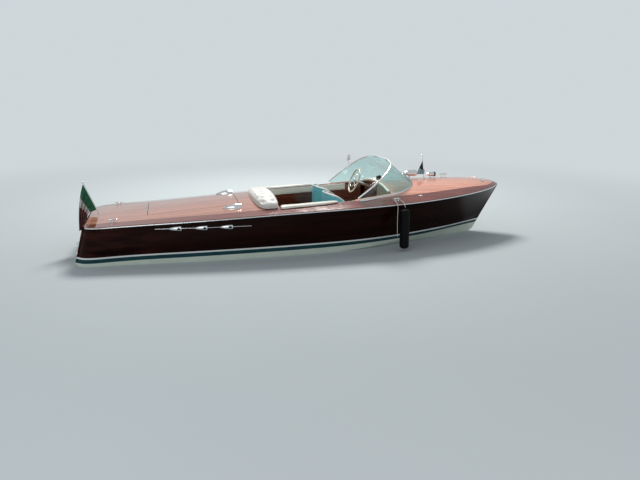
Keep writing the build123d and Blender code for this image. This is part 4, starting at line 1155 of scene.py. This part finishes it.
# %% Cushions and bench back
PLEATS = ((3.70, 4.13, (-0.45, -0.34, -0.23, 0.23, 0.34, 0.45)),
          (2.74, 3.09, (-0.52, -0.347, -0.173, 0.0, 0.173, 0.347, 0.52)))
PLEAT_STEPS = 60
CHANNELS = 11
CHANNEL_FIRST, CHANNEL_STEP = -0.575, 0.115
CHANNEL_POINTS, CHANNEL_POINT_STEP = 60, 0.005

seats = stuffed(even_copy("seat_cushions_soft", "seat_cushions", voxel=0.011), "seat_cushions",
                "cream", shrink=0.006, cap=0.012)
seat_tree = tree_of("seat_cushions")
pleats = []
for x_from, x_to, breadths in PLEATS:
    for y in breadths:
        pleats += [top_of(seat_tree, x_from + (x_to - x_from) * i / PLEAT_STEPS, y)
                   for i in range(PLEAT_STEPS + 1)]
press(seats, [p for p in pleats if p], reach=0.014, depth=0.007, upward_only=True)
soften(seats)

bench_back = stuffed(even_copy("rear_back_soft", "rear_seat_back", voxel=0.010), "rear_seat_back",
                     "turquoise", shrink=0.005, cap=0.010)
back_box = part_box("rear_seat_back")
channels = []
for i in range(CHANNELS):
    y = CHANNEL_FIRST + CHANNEL_STEP * i
    channels += [(back_box[1][0], y, back_box[0][2] + CHANNEL_POINT_STEP * k) for k in range(CHANNEL_POINTS)]
press(bench_back, channels, reach=0.010, depth=0.007)
soften(bench_back)
print("pleats", sum(len(breadths) for x_from, x_to, breadths in PLEATS), "channels", CHANNELS)

# %% [markdown]
# The flags are plain bands of colour on limp bunting. The bands run along the cloth's own UV map, so
# they follow every fold. A fine weave darkens the colour a little and gives the cloth its relief.

# %% Bunting
BAND_SOFTNESS = 0.002
WEAVE_RELIEF = 0.00036


def cloth_bands(name, bands):
    """Bunting in bands along the fly, each a colour that starts at a share of the way."""
    material, net, shader = new_material(name, Roughness=0.85, Sheen_Weight=0.25, Specular_IOR_Level=0.2)
    uv = net.node("UVMap", {}, uv_map="cloth").outputs[0]
    along = net.parts(uv)["X"]
    colour = bands[0][1]
    for start, tint in bands[1:]:
        colour = net.blend(net.remap(along, start - BAND_SOFTNESS, start + BAND_SOFTNESS), colour, tint)
    threads = net.noise(net.stretch(uv, (300, 200, 1)), 1.0, 2.0)
    net.feed(shader["Base Color"], net.blend(net.times(threads, 0.25), colour, (0.02, 0.02, 0.02)))
    net.feed(shader["Normal"], net.bump(threads, 0.2, WEAVE_RELIEF))
    return material


finish["flag"] = cloth_bands("flag_bunting", ((0, (0.018, 0.130, 0.062)), (0.40, (0.62, 0.62, 0.58)),
                                              (0.62, (0.20, 0.014, 0.014))))
finish["pennant"] = cloth_bands("pennant_bunting", ((0, (0.012, 0.016, 0.035)), (0.55, (0.35, 0.50, 0.56))))
print("finishes in all", len(finish))

# %% [markdown]
# The stern flag hangs limp from a staff that leans aft, and the pennant on the foredeck in the same
# way. The cloth is a sheet between two lines: the top edge falls from the staff's head, the bottom
# edge from its foot. Away from the staff the cloth has less and less room, so it gathers into pleats
# that deepen towards the fly end.

# %% Folds of a hanging cloth
CLOTH_COLUMNS, CLOTH_ROWS = 72, 44
CLOTH_THICKNESS = 0.0008
FULL_AT, GATHERING = 1.5, 0.8
PLEAT_DRIFT = 1.3
RIPPLE_SHARE, RIPPLE_ACROSS, RIPPLE_ALONG = 0.25, 9, 4


def along_line(points, share):
    """The point at a share of the way along a smooth line."""
    place = share * (len(points) - 1)
    i = min(int(place), len(points) - 2)
    return points[i].lerp(points[i + 1], place - i)


def pleated_grid(name, top, foot, pleats, depth):
    """Rows of points from the staff to the fly end, each running from the top edge to the foot."""
    top_line = nurbs_points(name + "_top", [(x, 0, z) for x, z in top], 12)
    foot_line = nurbs_points(name + "_foot", [(x, 0, z) for x, z in foot], 12)
    grid = []
    for r in range(CLOTH_ROWS + 1):
        fly_share = r / CLOTH_ROWS
        start, end = along_line(top_line, fly_share), along_line(foot_line, fly_share)
        fullness = depth * min(1.0, fly_share * FULL_AT) ** GATHERING
        row = []
        for c in range(CLOTH_COLUMNS + 1):
            across = c / CLOTH_COLUMNS
            point = start.lerp(end, across)
            wave = math.sin(2 * math.pi * pleats * across + PLEAT_DRIFT * fly_share)
            ripple = math.sin(RIPPLE_ACROSS * across + RIPPLE_ALONG * fly_share)
            point.y = fullness * (wave + RIPPLE_SHARE * ripple)
            row.append(point)
        grid.append(row)
    return grid


print("cloth grid", CLOTH_COLUMNS, "by", CLOTH_ROWS)

# %% [markdown]
# The grid of folds becomes a sheet with a hair's thickness. Each face's corners keep their place in
# the flat cloth as a UV map, which is what lets the bands run through the folds. The sizes below are
# those of the cloth laid flat, and the two lines are where its edges hang.

# %% Stern flag and pennant
FLAG_HOIST, FLAG_FLY = 0.44, 0.69
FLAG_TOP = ((0.116, 1.028), (0.085, 0.95), (0.045, 0.78), (0.012, 0.58), (0.002, 0.345))
FLAG_FOOT = ((0.270, 0.645), (0.222, 0.622), (0.165, 0.612), (0.118, 0.52), (0.080, 0.345))
FLAG_PLEATS, FLAG_PLEAT_DEPTH = 4, 0.034
PENNANT_HOIST, PENNANT_FLY = 0.13, 0.21
PENNANT_TOP = ((5.337, 1.222), (5.318, 1.17), (5.288, 1.10), (5.262, 1.05), (5.247, 1.000))
PENNANT_FOOT = ((5.352, 1.092), (5.368, 1.075), (5.381, 1.05), (5.384, 1.025), (5.380, 0.995))
PENNANT_PLEATS, PENNANT_PLEAT_DEPTH = 3, 0.013


def hanging_cloth(name, grid, size, look, node):
    """A thin sheet over a grid of points, with the cloth's own grid as its UV map."""
    shape = bmesh.new()
    uv = shape.loops.layers.uv.new("cloth")
    rows = [[shape.verts.new(point) for point in row] for row in grid]
    for r in range(CLOTH_ROWS):
        for c in range(CLOTH_COLUMNS):
            corners = ((r, c), (r, c + 1), (r + 1, c + 1), (r + 1, c))
            face = shape.faces.new([rows[row_at][column_at] for row_at, column_at in corners])
            for loop, (row_at, column_at) in zip(face.loops, corners):
                loop[uv].uv = (row_at / CLOTH_ROWS, column_at / CLOTH_COLUMNS)
    mesh = bpy.data.meshes.new(name)
    shape.to_mesh(mesh)
    shape.free()
    area = sum(p.area for p in mesh.polygons)
    obj = to_object(name, mesh, 180)
    wall = obj.modifiers.new("cloth_thickness", "SOLIDIFY")
    wall.thickness = CLOTH_THICKNESS
    dress(obj, look)
    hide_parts(node)
    print(name, "area", round(area, 4), "flat", round(size[0] * size[1], 4))


flag_grid = pleated_grid("stern_flag", FLAG_TOP, FLAG_FOOT, FLAG_PLEATS, FLAG_PLEAT_DEPTH)
hanging_cloth("stern_flag", flag_grid, (FLAG_HOIST, FLAG_FLY), "flag", "flag")
pennant_grid = pleated_grid("bow_pennant", PENNANT_TOP, PENNANT_FOOT, PENNANT_PLEATS, PENNANT_PLEAT_DEPTH)
hanging_cloth("bow_pennant", pennant_grid, (PENNANT_HOIST, PENNANT_FLY), "pennant",
              "pennant")

# %% [markdown]
# The helm is a cream rim on three bright spokes, with a horn ring inside it. All of it is built in
# the wheel's own plane, which leans back towards the seat, and rides on the wheel's body. The rim's
# section swells and narrows in even waves, which are the finger grips.

# %% Steering wheel rim
HELM_CENTRE = Vector((4.300, 0.380, 0.875))
HELM_RAKE = math.radians(22)
HELM_RADIUS, HELM_RIM = 0.195, 0.0135
HELM_OUT = Vector((-math.cos(HELM_RAKE), 0, math.sin(HELM_RAKE)))
HELM_ACROSS = Vector((0, 1, 0))
HELM_UP = HELM_ACROSS.cross(HELM_OUT)
GRIPS, GRIP_SWELL = 48, 0.035


def helm_point(radius, turn, lift=0.0):
    """A point of the wheel by its radius and turn, lifted towards the seat."""
    return (HELM_CENTRE + HELM_ACROSS * radius * math.cos(turn) + HELM_UP * radius * math.sin(turn)
            + HELM_OUT * lift)


def hoop_rings(radius, section, steps, lift=0.0, grips=0, swell=0.0):
    """Rings of a hoop in the wheel's plane, its section swelling at the finger grips."""
    rings = []
    for turn in turns_round(steps):
        size = section * (1 + swell * math.cos(grips * turn))
        rings.append([helm_point(radius + size * math.cos(lean), turn, lift + size * math.sin(lean))
                      for lean in turns_round(12)])
    return rings


rim_rings = hoop_rings(HELM_RADIUS, HELM_RIM, 192, grips=GRIPS, swell=GRIP_SWELL)
helm_rim = dress(skinned("helm_rim", [rim_rings], 60, "joined"), "ivory", "helm_wheel")
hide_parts("steering_wheel")
print("wheel", round(2 * (HELM_RADIUS + HELM_RIM), 3), "m across with", GRIPS, "grips")

# %% [markdown]
# The spokes narrow in the middle and rise towards the hub, and a small post on each carries the
# horn ring. The hub's outline is turned round the wheel's axis, as on a lathe. All of it is one
# chromed piece.

# %% Spokes, horn ring and hub
SPOKES = [math.radians(degrees) for degrees in (90, 210, 330)]
SPOKE_FROM, SPOKE_TO, SPOKE_RINGS = 0.028, 0.193, 13
SPOKE_HALF_WIDTH, SPOKE_WAIST, SPOKE_THICKNESS = 0.013, 0.006, 0.0032
SPOKE_RISE = 0.010
HORN_RADIUS, HORN_SECTION, HORN_LIFT = 0.112, 0.0045, 0.016
POST_RADIUS, POST_FOOT = 0.0035, 0.004
HUB_OUTLINE = ((0.0, 0.024), (0.018, 0.023), (0.026, 0.019), (0.034, 0.010), (0.034, -0.012),
               (0.010, -0.014), (0.010, -0.118), (0.0, -0.118))


def spoke_rings(turn):
    """Rings of one spoke, from the hub's side to just inside the rim."""
    way = HELM_ACROSS * -math.sin(turn) + HELM_UP * math.cos(turn)
    rings = []
    for i in range(SPOKE_RINGS):
        share = i / (SPOKE_RINGS - 1)
        radius = SPOKE_FROM + (SPOKE_TO - SPOKE_FROM) * share
        half = SPOKE_HALF_WIDTH - SPOKE_WAIST * math.sin(math.pi * share)
        middle = helm_point(radius, turn, SPOKE_RISE * (1 - share) ** 2)
        rings.append(ring_of(middle, way * half, HELM_OUT * SPOKE_THICKNESS, 12))
    return rings


shape = bmesh.new()
for turn in SPOKES:
    ring_skin(shape, spoke_rings(turn))
ring_skin(shape, hoop_rings(HORN_RADIUS, HORN_SECTION, 96, lift=HORN_LIFT), ends="joined")
for turn in SPOKES:
    post = [helm_point(HORN_RADIUS, turn, HORN_LIFT), helm_point(HORN_RADIUS, turn, POST_FOOT)]
    ring_skin(shape, tube_rings(post, POST_RADIUS, 8))
hub = [[helm_point(max(radius, 1e-5), turn, lift) for radius, lift in HUB_OUTLINE]
       for turn in turns_round(48)]
ring_skin(shape, hub, closed=False, ends="joined")
helm_bright = dress(build("helm_spokes", shape, 40), "chrome", "helm_wheel")
print("wheel's bright parts", len(helm_bright.data.polygons), "faces")

# %% [markdown]
# Screw heads and gauge ticks are the same job: one small piece repeated along a line. A Geometry
# Nodes tree does it. A mesh of edges becomes a curve, the curve is resampled at an even spacing, and
# the piece is placed on every sample, its Z along the stored "facing" and its X along the line. A
# seeded random turn keeps the copies from looking stamped.

# %% Geometry Nodes tree for repeats
repeats = bpy.data.node_groups.new("repeat_along", "GeometryNodeTree")
for label, kind in (("Lines", "Geometry"), ("Piece", "Object"), ("Spacing", "Float"), ("Turn", "Float"),
                    ("Seed", "Int"), ("Material", "Material")):
    repeats.interface.new_socket(label, in_out="INPUT", socket_type="NodeSocket" + kind)
repeats.interface.new_socket("Result", in_out="OUTPUT", socket_type="NodeSocketGeometry")


def step(kind, links, **fields):
    """One node of the repeating tree, with its inputs linked from other nodes' outputs."""
    node = repeats.nodes.new(kind)
    for field, value in fields.items():
        setattr(node, field, value)
    for key, source in links.items():
        if isinstance(source, bpy.types.NodeSocket):
            repeats.links.new(source, node.inputs[key])
        else:
            node.inputs[key].default_value = source
    return node


entry = step("NodeGroupInput", {}).outputs
curve = step("GeometryNodeMeshToCurve", {"Mesh": entry["Lines"]}).outputs["Curve"]
samples = step("GeometryNodeResampleCurve", {"Curve": curve, "Length": entry["Spacing"]}, mode="LENGTH")
facing = step("GeometryNodeInputNamedAttribute", {"Name": "facing"}, data_type="FLOAT_VECTOR")
upright = step("FunctionNodeAlignRotationToVector", {"Vector": facing.outputs["Attribute"]}, axis="Z")
tangent = step("GeometryNodeInputTangent", {}).outputs["Tangent"]
level = step("FunctionNodeAlignRotationToVector",
             {"Rotation": upright.outputs["Rotation"], "Vector": tangent}, axis="X", pivot_axis="Z")
back = step("ShaderNodeMath", {0: entry["Turn"], 1: -1.0}, operation="MULTIPLY")
chance = step("FunctionNodeRandomValue", {2: back.outputs[0], 3: entry["Turn"], "Seed": entry["Seed"]},
              data_type="FLOAT")
spin = step("FunctionNodeAxisAngleToRotation", {"Angle": chance.outputs[1], "Axis": (0, 0, 1)})
loose = step("FunctionNodeRotateRotation", {"Rotation": level.outputs["Rotation"],
                                            "Rotate By": spin.outputs["Rotation"]}, rotation_space="LOCAL")
piece = step("GeometryNodeObjectInfo", {"Object": entry["Piece"]}).outputs["Geometry"]
copies = step("GeometryNodeInstanceOnPoints", {"Points": samples.outputs["Curve"], "Instance": piece,
                                               "Rotation": loose.outputs["Rotation"]})
real = step("GeometryNodeRealizeInstances", {"Geometry": copies.outputs["Instances"]})
coloured = step("GeometryNodeSetMaterial", {"Geometry": real.outputs["Geometry"],
                                            "Material": entry["Material"]})
step("NodeGroupOutput", {"Result": coloured.outputs["Geometry"]})
print("repeat tree", len(repeats.nodes), "nodes")

# %% [markdown]
# The tree is used through one function, which makes the mesh of edges, sets the modifier's inputs by
# their identifiers and turns the result into a plain mesh. The two small pieces that it repeats on
# this boat are a domed screw head and a flat bar.

# %% Repeating a piece along lines
REPEAT_SEED = 7
SCREW_DOME = ((1.0, 0.0), (0.94, 0.45), (0.70, 0.80), (0.35, 1.0))


def repeat_along(name, lines, piece, spacing, look, turn=0.0):
    """Copies of a small piece at even steps along lines. Each line is a list of (point, facing)."""
    mesh = bpy.data.meshes.new(name)
    points, ways, edges = [], [], []
    for line in lines:
        edges += [(len(points) + i, len(points) + i + 1) for i in range(len(line) - 1)]
        points += [tuple(p) for p, way in line]
        ways += [tuple(way) for p, way in line]
    mesh.from_pydata(points, edges, [])
    stored = mesh.attributes.new("facing", "FLOAT_VECTOR", "POINT")
    stored.data.foreach_set("vector", np.array(ways, np.float32).ravel())
    obj = bpy.data.objects.new(name, mesh)
    bpy.context.scene.collection.objects.link(obj)
    live = obj.modifiers.new("repeat", "NODES")
    live.node_group = repeats
    values = {"Piece": piece, "Spacing": spacing, "Turn": turn, "Seed": REPEAT_SEED,
              "Material": finish[look]}
    for item in repeats.interface.items_tree:
        if item.in_out == "INPUT" and item.name in values:
            live[item.identifier] = values[item.name]
    bake(obj)
    obj.data.shade_smooth()
    obj.data.set_sharp_from_angle(angle=math.radians(40))
    bpy.data.objects.remove(piece)
    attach(obj, "hull")
    print(name, len(obj.data.polygons), "faces")


def bar_piece(length, width, height):
    """A small block centred on the origin in X and Y, its foot at height zero."""
    shape = bmesh.new()
    bmesh.ops.create_cube(shape, size=1.0)
    for vert in shape.verts:
        vert.co = Vector((vert.co.x * length, vert.co.y * width, (vert.co.z + 0.5) * height))
    return build("bar_piece", shape)


def screw_piece(radius, height):
    """A domed screw head, its foot at height zero."""
    across, up = Vector((radius, 0, 0)), Vector((0, radius, 0))
    rings = [ring_of(Vector((0, 0, height * lift)), across * share, up * share, 16)
             for share, lift in SCREW_DOME]
    return skinned("screw_piece", [rings], 50)


# %% [markdown]
# The rub rails are held by a row of screws, whose places are found by level rays against the packed
# rail: at each length the ray that strikes furthest out has found the rail's crest. Seen from a few
# metres off they are bright dots a hand and a half apart.

# %% Rail screws
SCREW_SPACING = 0.22
SCREW_RADIUS, SCREW_HEIGHT, SCREW_SUNK = 0.0045, 0.0016, 0.0006
RAIL_FROM, RAIL_STEP, RAIL_STEPS = 0.16, 0.05, 131
RAIL_HEIGHTS = [0.45 + 0.004 * k for k in range(140)]

rails = tree_of("rub_rails")
rail_lines = []
for side in (1, -1):
    line = []
    for i in range(RAIL_STEPS):
        x = RAIL_FROM + RAIL_STEP * i
        hits = [struck(rails, (x, 3 * side, z), (0, -side, 0)) for z in RAIL_HEIGHTS]
        hits = [(place, way) for place, way in hits if place and place.y * side > 0]
        if hits:
            place, way = max(hits, key=lambda hit: hit[0].y * side)
            line.append((place - way * SCREW_SUNK, way))
    rail_lines.append(line)
repeat_along("rail_screws", rail_lines, screw_piece(SCREW_RADIUS, SCREW_HEIGHT), SCREW_SPACING,
             "chrome", turn=math.pi)

# %% [markdown]
# The gauges are black dials in bright rims. Each has ticks round three quarters of its edge, placed
# by the same tree along arcs, and a thin needle.

# %% Gauges
DIAL_X = 4.548
GAUGES = ((0.105, 0.800, 0.038), (0.190, 0.802, 0.030), (0.270, 0.795, 0.030), (0.490, 0.772, 0.030),
          (0.565, 0.756, 0.038))
DIAL_RIM = 0.005
DIAL_SUNK, DIAL_LIFT = 0.002, 0.0006
SWEEP = math.radians(135)
TICK_SHARE, TICK_SPACING, ARC_STEPS = 0.84, 0.0085, 60
TICK_SIZE = (0.0010, 0.0055, 0.0004)
NEEDLE_RADIUS, NEEDLE_LIFT, BOSS_RADIUS = 0.0008, 0.0018, 0.0028
NEEDLE_FIRST, NEEDLE_STEP = -0.9, 0.37
NEEDLE_SHARES, BOSS_LIFTS = (-0.2, 0.4, 0.8), (0.0005, 0.003)


def dial_point(gauge, turn, share, lift):
    """A point on a gauge's face: turn is clockwise from the top as seen from the seat."""
    y, z, radius = gauge
    reach = (radius - DIAL_RIM) * share
    return Vector((DIAL_X - lift, y - math.sin(turn) * reach, z + math.cos(turn) * reach))


dials = [[[dial_point(gauge, t, 1.0, lift) for t in turns_round(48)]
          for lift in (-DIAL_SUNK, DIAL_LIFT)] for gauge in GAUGES]
dress(skinned("gauge_dials", dials), "black")

arcs = [[(dial_point(gauge, -SWEEP + 2 * SWEEP * i / ARC_STEPS, TICK_SHARE, DIAL_LIFT), (-1, 0, 0))
         for i in range(ARC_STEPS + 1)] for gauge in GAUGES]
repeat_along("gauge_ticks", arcs, bar_piece(*TICK_SIZE), TICK_SPACING, "white")

needles = []
for i, gauge in enumerate(GAUGES):
    turn = SWEEP * (NEEDLE_FIRST + NEEDLE_STEP * i)
    line = [dial_point(gauge, turn, share, NEEDLE_LIFT) for share in NEEDLE_SHARES]
    boss = [dial_point(gauge, turn, 0, lift) for lift in BOSS_LIFTS]
    needles += [tube_rings(line, NEEDLE_RADIUS, 6), tube_rings(boss, BOSS_RADIUS, 12)]
dress(skinned("gauge_needles", needles), "red")
print("gauges", len(GAUGES))

# %% [markdown]
# The compass, the lamp and the horn on the foredeck are solid in the imported model, so the compass's
# ring, the lamp's lens and, further down, the horn's mouth are thin discs set a hair in front of them.
# The horn's mouth is black, painted shade for the hollow of the horn.

# %% Compass ring and lamp lens
COMPASS_X, COMPASS_Y = 4.710, 0.330
COMPASS_SEAT = top_of(tree_of("foredeck"), COMPASS_X, COMPASS_Y).z + 0.006
FORWARD, UPWARD = (1, 0, 0), (0, 0, 1)
DISC_LIFT = 0.0006


def front_disc(name, centre, way, radius, depth, look):
    """A disc that faces along a direction, standing a hair proud of a centre and a depth deep."""
    centre, way = Vector(centre), Vector(way)
    across = way.orthogonal().normalized()
    up = way.normalized().cross(across)
    rings = [ring_of(centre + way * lift, across * radius, up * radius, 32) for lift in (-depth, DISC_LIFT)]
    dress(skinned(name, [rings]), look)
    print(name, "radius", radius)


front_disc("compass_ring", (COMPASS_X, COMPASS_Y, COMPASS_SEAT), UPWARD, radius=0.0485, depth=0.008,
           look="chrome")
front_disc("lamp_lens", (5.230, 0, 1.022), FORWARD, radius=0.042, depth=0.002, look="white")

# %% [markdown]
# Each side vent has a hood with an oval mouth. A dark skin of painted shade stands for the shade
# inside it, and is dropped onto the imported hood by level rays, ring by ring, so that it lies on the
# hood's curved face and not in front of it.

# %% Vent and horn mouths
VENTS = (1.360, 1.705, 2.050)
VENT_HEIGHT = 0.510
MOUTH_SHIFT, MOUTH_LONG, MOUTH_HIGH = 0.052, 0.025, 0.0165
MOUTH_RINGS = (1.0, 0.75, 0.5, 0.25, 0.02)

hoods = tree_of("side_vents")
mouths = []
for side in (1, -1):
    for vent in VENTS:
        rings = []
        for share in MOUTH_RINGS:
            ring = []
            for turn in turns_round(24):
                x = vent + MOUTH_SHIFT + MOUTH_LONG * share * math.cos(turn)
                z = VENT_HEIGHT + MOUTH_HIGH * share * math.sin(turn)
                place, way = struck(hoods, (x, 2 * side, z), (0, -side, 0))
                ring.append(place + way * DISC_LIFT)
            rings.append(ring)
        mouths.append(rings)
# The mouths are black: painted shade for the hollow inside each hood.
dress(skinned("vent_mouths", mouths, 60), "black")
print("vent mouths", 2 * len(VENTS))
# The horn's mouth is a black disc of painted shade for the horn's hollow.
front_disc("horn_mouth", (5.5605, 0, 0.992), FORWARD, radius=0.0386, depth=0.026, look="black")
